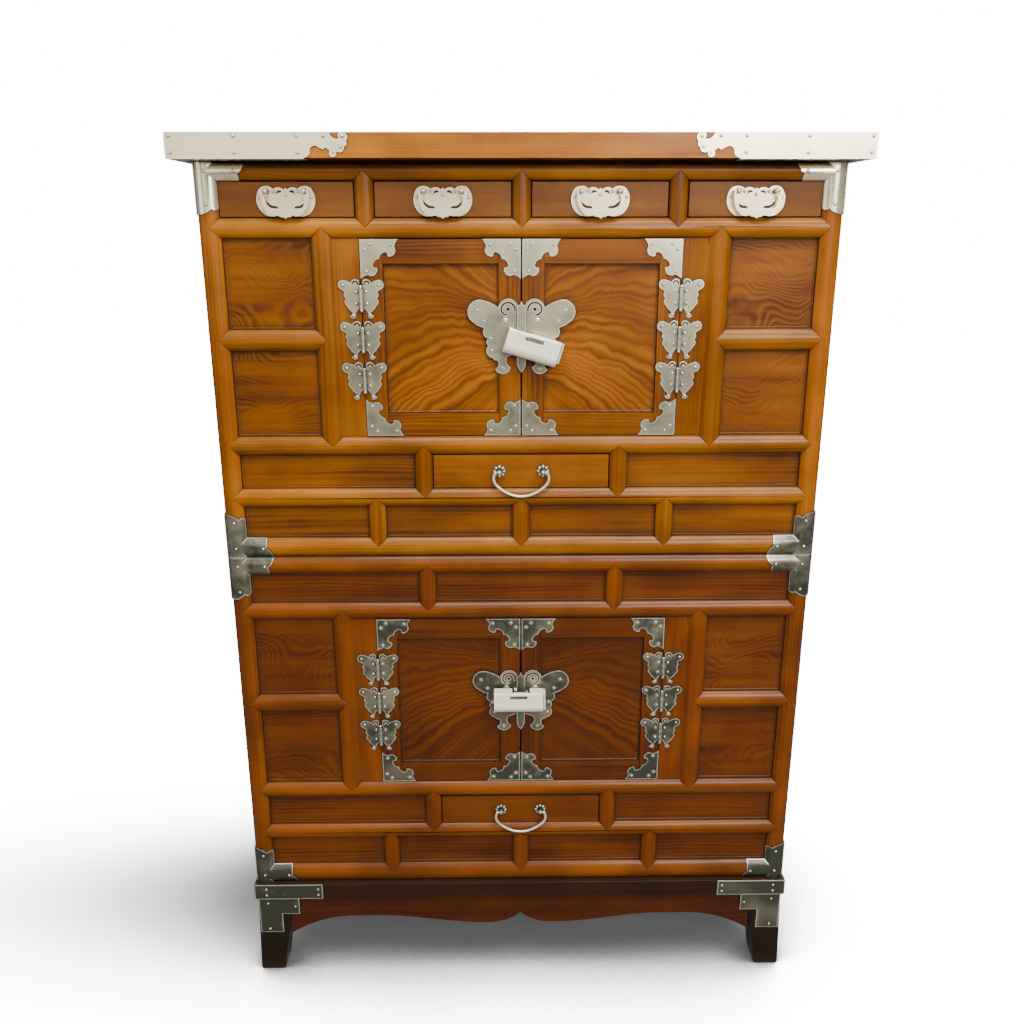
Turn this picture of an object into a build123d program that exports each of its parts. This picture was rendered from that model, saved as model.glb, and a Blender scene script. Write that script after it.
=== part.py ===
from build123d import *
import math
import os

# ---------------------------------------------------------------------------
# Driving sizes, in millimetres.  X runs along the front, Y to the back, Z up.
# ---------------------------------------------------------------------------

# The case and its frame members
case_width = 920.0
case_depth = 430.0
post_width = 30.0          # seen from the front
post_depth = 34.0          # front to back
crown_rise = 7.0           # how far the rounded face of a bar stands out
rail_height = 28.0         # rails between two rows
bar_width = 27.0           # uprights between two small panels
stile_width = 31.0         # upright between side bay and door bay
jamb_width = 37.5          # flat board that carries the hinges

# Heights of the rows, floor of the tier to its top
low_row = 51.6
mid_row = 54.0
lower_bay = 299.0
upper_bay = 289.5
high_row = 50.0
lower_foot_rail = 35.0
lower_top_rail = 29.0
upper_foot_rail = 30.5
upper_top_rail = 25.0

# Places of the uprights, from the middle of the case
quarter_x = 223.5          # bars that part a row in four
centre_field_x = 149.0     # bars on both sides of the centre field
hinge_line_x = 233.5       # joint between door and jamb

# Panels
panel_thickness = 8.0
panel_recess = 5.0         # behind the square face of the frame
tongue = 5.0               # of a panel, in its groove
bead_width = 2.6
bead_proud = 1.6

# Base
leg_height = 150.0
leg_top_width = 54.0
leg_foot_width = 43.0
leg_toe_out = 5.0          # how far the foot stands outside the case
leg_ankle = 0.75           # height of the narrowing's start, as a share of the leg
leg_thickness = 48.0
moulding_height = 29.0
moulding_proud = 4.0
moulding_width = 60.0
apron_thickness = 18.0
apron_setback = 3.0        # behind the face of the legs
apron_height = 41.0        # in the straight stretch
apron_lobe = 58.0          # depth at the two middle lobes
apron_cusp = 36.5          # depth at the middle
apron_ear = 76.0           # depth at the legs
apron_lobe_x = 60.0
apron_lobe_reach = 250.0   # where the sweep into a lobe starts
apron_cusp_rise = 1.1      # steepness of the lobes at the middle
apron_straight_x = 286.0

# Cap
cap_thickness = 33.0
cap_side_overhang = 22.0
cap_front_overhang = 38.0
cap_back_overhang = 14.0
cap_roundover = 5.0
neck_height = 2.4
neck_inset = 8.0

# Boards inside
board = 11.0
floor_step = 4.0           # the compartment's floor stands above its sill and stops the doors
back_panel_thickness = 9.0

# Doors
door_thickness = 20.0
door_stile = 32.0
door_rail = 34.0
door_gap = 1.2             # to the rails above and below
hinge_gap = 1.2            # to the jamb
door_middle_gap = 2.6      # between the two doors
stop_gap = 1.0             # behind a closed door

# Drawers
drawer_front = 14.0
drawer_side = 9.0
drawer_bottom = 6.0
drawer_gap = 1.4           # around the front
drawer_play = 1.0          # beside the box
runner_play = 0.5          # under the box
drawer_back_space = 14.0
drawer_face_back = 6.0     # front of a drawer, behind the crest of the rails

# Metal
sheet = 1.5
nail_radius = 2.3
corner_arm = 71.0          # corner mounts, along the rail
corner_leg = 70.0          # corner mounts, along the post
side_arm = 46.0            # the same mount round the corner
mount_lip = 0.8            # how far the mounts stand over the openings beside them
mount_spread = 0.8         # sideways growth of the mounts' rounded faces, for each mm outwards
cap_mount_length = 245.0
cap_mount_straight = 185.0
cap_mount_under = 34.0
cap_mount_end = 120.0
moulding_mount = 118.0
foot_mount = 71.0
foot_mount_arm = 33.0

# Hinges
pin_radius = 1.5
pin_play = 0.05
knuckle_radius = 2.6
knuckle_gap = 0.4
knuckle_length = 9.7
hinge_axis_out = 3.0       # the pin's axis, in front of the door's face
leaf_clear = 0.4           # between a leaf and the other leaf's knuckle
leaf_width = 33.0
leaf_height = 56.0
hinge_pitch = 60.0
corner_plate = 55.5

# Lock fittings
wing_width = 79.0
wing_height = 110.0
spine_width = 13.0
spine_length = 105.0
spine_point = 13.0
spine_lift = 0.4           # over the other door's plate
staple_x = 9.0
staple_thickness = 4.0
staple_eye = 3.6           # inner radius
staple_wall = 2.0
bar_out = 13.0             # axis of the lock's bar, in front of the plates
lock_length = 80.0
lock_height = 38.0
lock_depth = 20.0
lock_round = 14.0          # of its lower front edge
lock_back_clear = 7.5      # between the lock and the plates
lock_wall = 2.5            # in front of the pocket for the staple
lock_edge = 1.5            # flat on its sharp edges
pocket_side_play = 3.2     # beside the two staples
pocket_play = 0.8          # below the staple's eye
window_width = 28.0
window_height = 6.0
bar_radius = 2.4
bar_below_top = 7.5
bolt_plate = 3.0
upper_lock_tilt = 16.8     # degrees, its right end hangs lower
upper_lock_shift = 10.0    # middle of the lock, along its bar from the right staple
lower_lock_shift = -13.0
upper_lock_rise = 4.7      # the bar in the right staple, over the middle of the bay
lower_lock_rise = 21.0
upper_plate_rise = 4.5
lower_plate_rise = 2.0

# Handles
post_out = 9.0             # axis of a handle's pivot, in front of the plate
post_radius = 2.6
post_ball = 3.6
pivot_radius = 1.3
pivot_play = 0.05
hook_clear = 0.4           # between a handle's end and the ball of its post
hook_width = 2.4
batwing_width = 83.0
batwing_height = 41.0
batwing_above = 18.0       # top of the plate over the middle of its drawer
batwing_post_x = 27.0
batwing_post_drop = 7.0    # below the plate's top
bail_thickness = 3.0
bail_drop = 38.0
rosette_x = 33.5
petal_radius = 2.8
petal_ring = 6.9
bead_step = 0.4            # a petal's bead is smaller than the petal
petals = 8
loop_width = 88.0
loop_drop = 37.6
loop_shoulder = 12.4
loop_radius = 2.0
loop_knob = 2.4            # ball on each end of the loop

# ---------------------------------------------------------------------------
# Places that follow from the sizes
# ---------------------------------------------------------------------------

half_case = case_width / 2
inner_x = half_case - post_width
cap_depth = cap_front_overhang + case_depth + cap_back_overhang
mount_proud = sheet + nail_radius                   # of the nailed sheath on the cap's front
front_y = -(cap_depth + mount_proud) / 2 + mount_proud + cap_front_overhang    # crest of the bars
back_y = front_y + case_depth
square_y = front_y + crown_rise                     # square face of frame, doors and jambs
member_depth = crown_rise + door_thickness + stop_gap
inside_y = front_y + member_depth                   # where the inside begins
inside_back_y = back_y - member_depth
case_z = leg_height + moulding_height


class Tier:
    """The levels of one tier, from the heights of its rails and rows."""

    def __init__(self, floor, foot_rail, bay, top_rail, high_bars):
        self.floor = floor
        self.foot = floor + foot_rail
        self.low_top = self.foot + low_row
        self.mid_bottom = self.low_top + rail_height
        self.mid_top = self.mid_bottom + mid_row
        self.bay_bottom = self.mid_top + rail_height
        self.bay_top = self.bay_bottom + bay
        self.high_bottom = self.bay_top + rail_height
        self.high_top = self.high_bottom + high_row
        self.top = self.high_top + top_rail
        self.bay_middle = (self.bay_bottom + self.bay_top) / 2
        self.high_bars = high_bars

    def rails(self):
        """Bottom and top of each full-width rail."""
        return [(self.floor, self.foot), (self.low_top, self.mid_bottom),
                (self.mid_top, self.bay_bottom), (self.bay_top, self.high_bottom),
                (self.high_top, self.top)]

    def bars(self):
        """Middle, width, bottom and top of each crowned upright."""
        found = [(x, bar_width, self.foot, self.low_top) for x in (-quarter_x, 0, quarter_x)]
        found += [(x, bar_width, self.mid_bottom, self.mid_top)
                  for x in (-centre_field_x, centre_field_x)]
        stile_x = hinge_line_x + jamb_width + stile_width / 2
        found += [(x, stile_width, self.bay_bottom, self.bay_top) for x in (-stile_x, stile_x)]
        found += [(x, bar_width, self.high_bottom, self.high_top) for x in self.high_bars]
        return found


lower = Tier(case_z, lower_foot_rail, lower_bay, lower_top_rail,
             (-centre_field_x, centre_field_x))
upper = Tier(lower.top, upper_foot_rail, upper_bay, upper_top_rail,
             (-quarter_x, 0, quarter_x))
cap_z = upper.top + neck_height
stile_outer_x = hinge_line_x + jamb_width + stile_width

# ---------------------------------------------------------------------------
# Shapes used all over
# ---------------------------------------------------------------------------


def block(x0, x1, y0, y1, z0, z1):
    """A box between two corners."""
    return Solid.make_box(x1 - x0, y1 - y0, z1 - z0).moved(Location((x0, y0, z0)))


def one(shape):
    """The largest solid of a boolean's result."""
    return max(shape.solids(), key=lambda s: s.volume)


def minus(solid, tools):
    """The solid without those tools whose boxes reach it."""
    box = solid.bounding_box()
    near = []
    for tool in tools:
        other = tool.bounding_box()
        if (other.min.X < box.max.X and other.max.X > box.min.X
                and other.min.Y < box.max.Y and other.max.Y > box.min.Y
                and other.min.Z < box.max.Z and other.max.Z > box.min.Z):
            near.append(tool)
    return one(solid.cut(*near)) if near else solid


def prism_y(points, y0, y1):
    """An outline in X and Z, made solid from y0 to y1."""
    face = Face(Wire.make_polygon([Vector(x, y0, z) for x, z in points]))
    return Solid.extrude(face, Vector(0, y1 - y0, 0))


def rod(start, end, radius):
    """A round bar between two points."""
    axis = Vector(*end) - Vector(*start)
    return Solid.make_cylinder(radius, axis.length, Plane(origin=start, z_dir=axis))


def upright_sheet(sketch, y, thickness=sheet):
    """A flat outline drawn in X and Z, its back on y, standing out to the front."""
    return one(extrude(Plane(origin=(0, y, 0), x_dir=(1, 0, 0), z_dir=(0, -1, 0)) * sketch,
                       thickness))


def mirrored(solids):
    """The same pieces on the other side of the middle."""
    return [s.mirror(Plane.YZ) for s in solids]


def both(solids):
    """The pieces and their mirror images."""
    return list(solids) + mirrored(solids)


def dome(radius, x, y, z):
    """Half a ball that stands out to the front."""
    half_ball = Solid.make_sphere(radius, angle1=0, angle2=90, angle3=360)
    return half_ball.moved(Location((x, y, z), (90, 0, 0)))


def nail(x, y, z):
    """A domed nail head on a plate that faces the front."""
    return dome(nail_radius, x, y, z)


def side_nail(x, y, z):
    """A domed nail head on a plate that faces the right."""
    head = Solid.make_sphere(nail_radius, angle1=0, angle2=90, angle3=360)
    return head.moved(Location((x, y, z), (0, 90, 0)))


def save(name, solids):
    """Write the pieces of one node."""
    export_step(Compound(list(solids)), f"parts/{name}.step")


# ---------------------------------------------------------------------------
# Frame: crowned bars whose rounded faces end in points
# ---------------------------------------------------------------------------


def crown_along_z(x, width, z0, z1):
    """The rounded face of an upright, with a point at each end."""
    half = width / 2
    base = z0 - half
    arc = ThreePointArc((x - half, square_y, base), (x, front_y, base), (x + half, square_y, base))
    chord = Line((x + half, square_y, base), (x - half, square_y, base))
    round_face = Solid.extrude(Face(Wire([arc, chord])), Vector(0, 0, z1 - z0 + width))
    outline = [(x, z0 - half), (x + half, z0), (x + half, z1), (x, z1 + half),
               (x - half, z1), (x - half, z0)]
    return one(round_face.intersect(prism_y(outline, front_y - 1, square_y + 1)))


def crown_along_x(x0, x1, z0, z1, left_point=True, right_point=True):
    """The rounded face of a rail, with a point at each end that meets an upright."""
    half = (z1 - z0) / 2
    middle = (z0 + z1) / 2
    start = x0 - half if left_point else x0
    end = x1 + half if right_point else x1
    arc = ThreePointArc((start, square_y, z0), (start, front_y, middle), (start, square_y, z1))
    chord = Line((start, square_y, z1), (start, square_y, z0))
    round_face = Solid.extrude(Face(Wire([arc, chord])), Vector(end - start, 0, 0))
    outline = [(x0, z0), (x1, z0), (end, middle), (x1, z1), (x0, z1), (start, middle)]
    return one(round_face.intersect(prism_y(outline, front_y - 1, square_y + 1)))


def point_cut_x(x, z0, z1, direction):
    """The notch that the point of a rail fills in an upright."""
    half = (z1 - z0) / 2
    outline = [(x, z0), (x + direction * half, (z0 + z1) / 2), (x, z1)]
    return prism_y(outline, front_y - 1, square_y)


def point_cut_z(x, width, z, direction):
    """The notch that the point of an upright fills in a rail."""
    half = width / 2
    outline = [(x - half, z), (x, z + direction * half), (x + half, z)]
    return prism_y(outline, front_y - 1, square_y)


def fields(tier):
    """Left, right, bottom and top of each panelled opening on the right half and the middle."""
    edge = bar_width / 2
    low = [(edge, quarter_x - edge), (quarter_x + edge, inner_x)]
    found = [(a, b, tier.foot, tier.low_top) for a, b in low]
    found.append((centre_field_x + edge, inner_x, tier.mid_bottom, tier.mid_top))
    half_rail = stile_width / 2
    found.append((stile_outer_x, inner_x, tier.bay_bottom, tier.bay_middle - half_rail))
    found.append((stile_outer_x, inner_x, tier.bay_middle + half_rail, tier.bay_top))
    if tier is lower:
        found.append((centre_field_x + edge, inner_x, tier.high_bottom, tier.high_top))
    return found


def front_panel(x0, x1, z0, z1):
    """A panel in its grooves, with a thin bead round its face."""
    face_y = square_y + panel_recess
    panel = block(x0 - tongue, x1 + tongue, face_y, face_y + panel_thickness,
                  z0 - tongue, z1 + tongue)
    ring = block(x0, x1, face_y - bead_proud, face_y, z0, z1)
    hole = block(x0 + bead_width, x1 - bead_width, face_y - bead_proud - 1, face_y,
                 z0 + bead_width, z1 - bead_width)
    return one(panel.fuse(one(ring.cut(hole))))


def front_panels(tier):
    """All panels of a tier's front."""
    found = both([front_panel(*field) for field in fields(tier)])
    if tier is lower:
        edge = centre_field_x - bar_width / 2
        found.append(front_panel(-edge, edge, tier.high_bottom, tier.high_top))
    return found


def front_rails(tier, panels):
    """The rails across the front, and the short ones in the side bays."""
    rails = []
    for z0, z1 in tier.rails():
        rail = block(-inner_x, inner_x, square_y, inside_y, z0, z1)
        rail = one(rail.fuse(crown_along_x(-inner_x, inner_x, z0, z1)))
        notches = []
        for x, width, bottom, top in tier.bars():
            if bottom == z1:
                notches.append(point_cut_z(x, width, z1, -1))
            if top == z0:
                notches.append(point_cut_z(x, width, z0, 1))
        rails.append(minus(rail, notches + panels))
    half = stile_width / 2
    z0 = tier.bay_middle - half
    z1 = tier.bay_middle + half
    short = block(stile_outer_x, inner_x, square_y, inside_y, z0, z1)
    short = one(short.fuse(crown_along_x(stile_outer_x, inner_x, z0, z1)))
    rails += [minus(s, panels) for s in both([short])]
    return rails


def uprights(tier, panels):
    """The crowned bars between the rails, and the flat jambs beside the doors."""
    found = []
    half = stile_width / 2
    z0 = tier.bay_middle - half
    z1 = tier.bay_middle + half
    for x, width, bottom, top in tier.bars():
        core = block(x - width / 2, x + width / 2, square_y, inside_y, bottom, top)
        bar = one(core.fuse(crown_along_z(x, width, bottom, top)))
        notches = []
        if width == stile_width:
            side = 1 if x > 0 else -1
            notches.append(point_cut_x(side * stile_outer_x, z0, z1, -side))
        found.append(minus(bar, notches + panels))
    jamb = block(hinge_line_x + hinge_gap / 2, hinge_line_x + jamb_width, square_y, inside_y,
                 tier.bay_bottom, tier.bay_top)
    return found + both([jamb])


def side_levels(tier):
    """Bottom and top of the rails in a side frame, with one across the middle of the bay."""
    half = stile_width / 2
    return [(tier.floor, tier.foot), (tier.mid_top, tier.bay_bottom),
            (tier.bay_middle - half, tier.bay_middle + half),
            (tier.bay_top, tier.high_bottom), (tier.high_top, tier.top)]


def side_panels(tier):
    """The panels of both sides, in their grooves."""
    levels = side_levels(tier)
    face_x = half_case - crown_rise - panel_recess
    found = []
    for (_, z0), (z1, _) in zip(levels, levels[1:]):
        found.append(block(face_x - panel_thickness, face_x,
                           front_y + post_depth - tongue, back_y - post_depth + tongue,
                           z0 - tongue, z1 + tongue))
    return both(found)


def back_levels(tier):
    """Bottom and top of the rails in the back."""
    return [(tier.floor, tier.foot), (tier.mid_top, tier.bay_bottom), (tier.high_top, tier.top)]


def back_panels(tier):
    """The two boards that close the back."""
    levels = back_levels(tier)
    face_y = back_y - crown_rise - panel_recess
    found = []
    for (_, z0), (z1, _) in zip(levels, levels[1:]):
        found.append(block(-inner_x - tongue, inner_x + tongue, face_y - back_panel_thickness,
                           face_y, z0 - tongue, z1 + tongue))
    return found


def back_frame(tier, panels):
    """The rails of the back with their panels."""
    rails = [block(-inner_x, inner_x, inside_back_y, back_y - crown_rise, z0, z1)
             for z0, z1 in back_levels(tier)]
    return [minus(rail, panels) for rail in rails] + panels


def posts(tier, panels):
    """Four corner posts; the front ones carry the rounded face and the notches."""
    middle = half_case - post_width / 2
    core = block(inner_x, half_case, square_y, front_y + post_depth, tier.floor, tier.top)
    arc = ThreePointArc((inner_x, square_y, tier.floor), (middle, front_y, tier.floor),
                        (half_case, square_y, tier.floor))
    chord = Line((half_case, square_y, tier.floor), (inner_x, square_y, tier.floor))
    crown = Solid.extrude(Face(Wire([arc, chord])), Vector(0, 0, tier.top - tier.floor))
    notches = [point_cut_x(inner_x, z0, z1, 1) for z0, z1 in tier.rails()]
    half = stile_width / 2
    notches.append(point_cut_x(inner_x, tier.bay_middle - half, tier.bay_middle + half, 1))
    front = minus(one(core.fuse(crown)), notches)
    back = block(inner_x, half_case, back_y - post_depth, back_y, tier.floor, tier.top)
    return [minus(post, panels) for post in both([front, back])]


def side_rails(tier, panels):
    """The rails between front and back post, on both sides."""
    found = [block(inner_x, half_case - crown_rise, front_y + post_depth, back_y - post_depth,
                   z0, z1) for z0, z1 in side_levels(tier)]
    return [minus(rail, panels) for rail in both(found)]


# ---------------------------------------------------------------------------
# Boards inside
# ---------------------------------------------------------------------------


def guides(x_inner, z0, z1):
    """A pair of upright boards that guide the sides of a centre drawer."""
    return both([block(x_inner, x_inner + board, inside_y, inside_back_y, z0, z1)])


def inner_boards(tier):
    """Floors, ceilings, drawer dividers and guides of one tier."""
    span = (-inner_x, inner_x, inside_y, inside_back_y)
    compartment_floor = tier.bay_bottom + floor_step
    found = [block(*span, tier.floor + board, tier.floor + 2 * board)]
    found.append(block(*span, tier.mid_bottom - board, tier.mid_bottom))
    found.append(block(*span, compartment_floor - board, compartment_floor))
    found.append(block(*span, tier.top - board - sheet, tier.top - sheet))
    found += guides(centre_field_x - bar_width / 2, tier.mid_bottom, compartment_floor - board)
    if tier is upper:
        found.append(block(*span, tier.high_bottom - board, tier.high_bottom))
        for x in tier.high_bars:
            found.append(block(x - bar_width / 2, x + bar_width / 2, inside_y, inside_back_y,
                               tier.high_bottom, tier.top - board - sheet))
    return found


# ---------------------------------------------------------------------------
# Base and cap
# ---------------------------------------------------------------------------


def moulding():
    """The dark band under the lower tier, four boards."""
    x1 = half_case + moulding_proud
    y0 = front_y - moulding_proud
    front = block(-x1, x1, y0, y0 + moulding_width, leg_height, case_z)
    back = block(-x1, x1, back_y - moulding_width, back_y, leg_height, case_z)
    side = block(x1 - moulding_width, x1, y0 + moulding_width, back_y - moulding_width,
                 leg_height, case_z)
    return [front, back] + both([side])


def legs():
    """Four legs, narrower at the foot."""
    x1 = half_case
    toe = x1 + leg_toe_out
    ankle = leg_height * leg_ankle
    outline = Wire([
        Line((x1 - leg_top_width, 0, leg_height), (x1, 0, leg_height)),
        Line((x1, 0, leg_height), (toe, 0, 3)),
        Line((toe, 0, 3), (toe - 3, 0, 0)),
        Line((toe - 3, 0, 0), (toe - leg_foot_width + 3, 0, 0)),
        Line((toe - leg_foot_width + 3, 0, 0), (toe - leg_foot_width, 0, 3)),
        Line((toe - leg_foot_width, 0, 3), (x1 - leg_top_width, 0, ankle)),
        Line((x1 - leg_top_width, 0, ankle), (x1 - leg_top_width, 0, leg_height)),
    ])
    leg = Solid.extrude(Face(outline), Vector(0, leg_thickness, 0))
    front = leg.moved(Location((0, front_y - moulding_proud / 2, 0)))
    back = leg.moved(Location((0, back_y - leg_thickness, 0)))
    return both([front, back])


def apron_outline(x_leg):
    """Scalloped board between two legs, drawn in X and Z about its middle."""
    z = leg_height
    ear_x = x_leg - (x_leg - apron_straight_x) * 0.35
    sweep = min(apron_lobe_reach, apron_straight_x - 5)
    level = z - apron_height
    lobe = z - apron_lobe
    cusp = z - apron_cusp
    return Wire([
        Line((x_leg, 0, z), (-x_leg, 0, z)),
        Line((-x_leg, 0, z), (-x_leg, 0, z - apron_ear)),
        ThreePointArc((-x_leg, 0, z - apron_ear), (-ear_x, 0, level - 13),
                      (-apron_straight_x, 0, level)),
        Line((-apron_straight_x, 0, level), (-sweep, 0, level)),
        Spline((-sweep, 0, level), (-apron_lobe_x, 0, lobe), tangents=[(1, 0, 0), (1, 0, 0)]),
        Spline((-apron_lobe_x, 0, lobe), (0, 0, cusp),
               tangents=[(1, 0, 0), (1, 0, apron_cusp_rise)]),
        Spline((0, 0, cusp), (apron_lobe_x, 0, lobe),
               tangents=[(1, 0, -apron_cusp_rise), (1, 0, 0)]),
        Spline((apron_lobe_x, 0, lobe), (sweep, 0, level), tangents=[(1, 0, 0), (1, 0, 0)]),
        Line((sweep, 0, level), (apron_straight_x, 0, level)),
        ThreePointArc((apron_straight_x, 0, level), (ear_x, 0, level - 13),
                      (x_leg, 0, z - apron_ear)),
        Line((x_leg, 0, z - apron_ear), (x_leg, 0, z)),
    ])


def aprons():
    """Front apron with its lobes, and plain arched ones at the sides and back."""
    x_leg = half_case - leg_top_width
    front = Solid.extrude(Face(apron_outline(x_leg)), Vector(0, apron_thickness, 0))
    front = front.moved(Location((0, front_y - moulding_proud / 2 + apron_setback, 0)))
    back = block(-x_leg, x_leg, back_y - apron_setback - apron_thickness, back_y - apron_setback,
                 leg_height - apron_height, leg_height)
    y0 = front_y - moulding_proud / 2 + leg_thickness
    y1 = back_y - leg_thickness
    x1 = half_case - apron_setback
    ear = leg_height - apron_ear * 0.8
    flat = leg_height - apron_height
    sweep = (y1 - y0) * 0.2
    outline = Wire([
        Line((x1, y0, leg_height), (x1, y1, leg_height)),
        Line((x1, y1, leg_height), (x1, y1, ear)),
        ThreePointArc((x1, y1, ear), (x1, y1 - sweep * 0.35, flat - 8), (x1, y1 - sweep, flat)),
        Line((x1, y1 - sweep, flat), (x1, y0 + sweep, flat)),
        ThreePointArc((x1, y0 + sweep, flat), (x1, y0 + sweep * 0.35, flat - 8), (x1, y0, ear)),
        Line((x1, y0, ear), (x1, y0, leg_height)),
    ])
    side = Solid.extrude(Face(outline), Vector(-apron_thickness, 0, 0))
    # The legs are narrower than the board's end lower down, so they are cut out of it.
    return [minus(piece, legs()) for piece in [front, back] + both([side])]


def cap():
    """The top board on its thin neck."""
    x1 = half_case + cap_side_overhang
    y0 = front_y - cap_front_overhang
    y1 = back_y + cap_back_overhang
    top = Box(2 * x1, y1 - y0, cap_thickness, align=(Align.CENTER, Align.MIN, Align.MIN))
    top = fillet(top.edges().filter_by(Axis.Z), cap_roundover)
    top = top.moved(Location((0, y0, cap_z)))
    neck = block(-half_case + neck_inset, half_case - neck_inset, front_y + neck_inset,
                 back_y - neck_inset, upper.top, cap_z)
    return [one(top.fuse(neck))]


# ---------------------------------------------------------------------------
# Metal mounts on the case
# ---------------------------------------------------------------------------


def disc(x, z, radius):
    """A round patch of an outline."""
    return Pos(x, z) * Circle(radius)


def patch(*points):
    """A straight-edged patch of an outline."""
    return make_face(Polyline(*points, close=True))


def drawn(scale_x, scale_z, start, *spans):
    """A closed outline of straight spans (an end) and round ones (a middle and an end)."""
    def place(point):
        return (point[0] * scale_x, point[1] * scale_z)
    edges = []
    here = start
    for span in spans:
        if isinstance(span[0], tuple):
            edges.append(ThreePointArc(place(here), place(span[0]), place(span[1])))
            here = span[1]
        else:
            edges.append(Line(place(here), place(span)))
            here = span
    if here != start:
        edges.append(Line(place(here), place(start)))
    return make_face([edge.edge() for edge in edges])


def corner_outline(arm_width, leg_width):
    """An L with a cloud-cut end on each arm, its outer corner on the origin."""
    arm = corner_arm
    leg = corner_leg
    return drawn(
        1, 1, (-sheet, 0), (arm, 0), ((arm - 2.5, 9.5), (arm - 9.5, 16.5)), (arm - 8, 19.5),
        (arm - 8.5, arm_width + mount_lip),
        (leg_width + mount_lip, arm_width + mount_lip), (leg_width + mount_lip, leg - 10),
        ((leg_width - 2.5, leg - 5.5), (leg_width - 8, leg - 8)),
        ((leg_width - 17, leg - 1.5), (-sheet, leg)))


def mount_shell(tier, z0, z1):
    """Sheet metal laid over the rounded faces where a rail meets the right-hand post."""
    middle = half_case - post_width / 2
    reach = corner_arm + post_width

    def bump(lift):
        half = post_width / 2 + lift * mount_spread
        arc = ThreePointArc((middle - half, square_y, tier.floor), (middle, front_y - lift, tier.floor),
                            (middle + half, square_y, tier.floor))
        chord = Line((middle + half, square_y, tier.floor), (middle - half, square_y, tier.floor))
        post = Solid.extrude(Face(Wire([arc, chord])), Vector(0, 0, tier.top - tier.floor))
        start = half_case - reach
        low = z0 - lift * mount_spread
        high = z1 + lift * mount_spread
        arc = ThreePointArc((start, square_y, low), (start, front_y - lift, (z0 + z1) / 2),
                            (start, square_y, high))
        chord = Line((start, square_y, high), (start, square_y, low))
        rail = Solid.extrude(Face(Wire([arc, chord])), Vector(reach - post_width / 2, 0, 0))
        return one(post.fuse(rail))

    return one(bump(sheet).cut(bump(0)))


def corner_mount(tier, at_top):
    """A bent plate on the front right corner of a tier, with its nails."""
    z0, z1 = tier.rails()[-1 if at_top else 0]
    corner_z = z1 if at_top else z0
    up = -1 if at_top else 1
    arm_width = z1 - z0
    outline = mirror(corner_outline(arm_width, post_width), Plane.YZ)
    if at_top:
        outline = mirror(outline, Plane.XZ)
    cutter = upright_sheet(Pos(half_case, corner_z) * outline, square_y, crown_rise + 2 * sheet)
    front = one(mount_shell(tier, z0, z1).intersect(cutter))
    side_outline = drawn(
        1, up, (-crown_rise * 0.4, 0), (side_arm, 0), ((side_arm - 2, 12), (side_arm - 9, 19)),
        (side_arm - 9, corner_leg - 16), ((side_arm - 14, corner_leg - 8), (side_arm - 22, corner_leg - 10)),
        ((side_arm * 0.35, corner_leg - 1.5), (-crown_rise * 0.4, corner_leg)))
    plane = Plane(origin=(half_case, square_y, corner_z), x_dir=(0, 1, 0), z_dir=(1, 0, 0))
    side = one(extrude(plane * side_outline, sheet))
    plate = one(front.fuse(side))
    crest = front_y - sheet
    middle = half_case - post_width / 2
    z_arm = (z0 + z1) / 2
    nails = [nail(half_case - corner_arm + 14, crest, z_arm),
             nail(middle, crest, z_arm),
             nail(middle, crest, corner_z + up * (corner_leg - 13))]
    for y, z in ((side_arm * 0.22, 8), (side_arm * 0.78, 8), (side_arm * 0.3, corner_leg - 16),
                 (side_arm * 0.25, corner_leg * 0.45)):
        nails.append(side_nail(half_case + sheet, square_y + y, corner_z + up * z))
    return plate, nails


def corner_mounts(tier):
    """The four mounts on the front corners of a tier."""
    top, top_nails = corner_mount(tier, True)
    foot, foot_nails = corner_mount(tier, False)
    return both([top, foot]), both(top_nails + foot_nails)


def cap_mount_outline():
    """The sheath's front, from the cap's end inwards, ending in a volute over two curls."""
    outline = drawn(
        -cap_mount_length / 245, cap_thickness / 33, (0, 0), (185, 0), ((190, 1.5), (194, 6)),
        ((199, 15), (206, 13.5)), (212, 10), ((215.5, 12.5), (219, 10)), (231, 7.5),
        ((238, 8), (240.5, 14)), ((244, 17), (243, 20.5)), ((245.6, 27), (239, 32.8)),
        ((233.8, 30.5), (234.5, 24.5)), ((228, 24.5), (223, 28.5)), (220.5, 33), (0, 33))
    for x, z, radius in ((204.5, 6.6, 5.4), (225, 5.6, 4.9)):
        outline += disc(-x * cap_mount_length / 245, z * cap_thickness / 33, radius)
        outline -= disc(-(x + 0.5) * cap_mount_length / 245, z * cap_thickness / 33, radius * 0.25)
    return outline


def cap_mount():
    """The sheath round a front end of the cap: front, end and underside."""
    x1 = half_case + cap_side_overhang
    y0 = front_y - cap_front_overhang
    z0 = cap_z
    height = cap_thickness
    front = upright_sheet(Pos(x1, z0) * cap_mount_outline(), y0)
    end = block(x1, x1 + sheet, y0 - sheet, y0 + cap_mount_end, z0, z0 + height)
    under = block(x1 - cap_mount_straight, x1 + sheet, y0 - sheet,
                  y0 + cap_mount_under, z0 - sheet, z0)
    under_end = block(x1 - cap_side_overhang + neck_inset, x1 + sheet, y0 + cap_mount_under,
                      y0 + cap_mount_end, z0 - sheet, z0)
    plate = one(one(one(front.fuse(end)).fuse(under)).fuse(under_end))
    nails = []
    for share in (0.03, 0.5, 0.96):
        x = x1 - cap_mount_straight * share
        nails += [nail(x, y0 - sheet, z0 + height * part) for part in (0.2, 0.84)]
    for u, z in ((213, 28), (239, 27.5), (236, 14)):
        nails.append(nail(x1 - u * cap_mount_length / 245, y0 - sheet, z0 + z * height / 33))
    for y in (y0 + 12, y0 + cap_mount_end - 10):
        nails += [side_nail(x1 + sheet, y, z0 + height * part) for part in (0.2, 0.84)]
    return plate, nails


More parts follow.
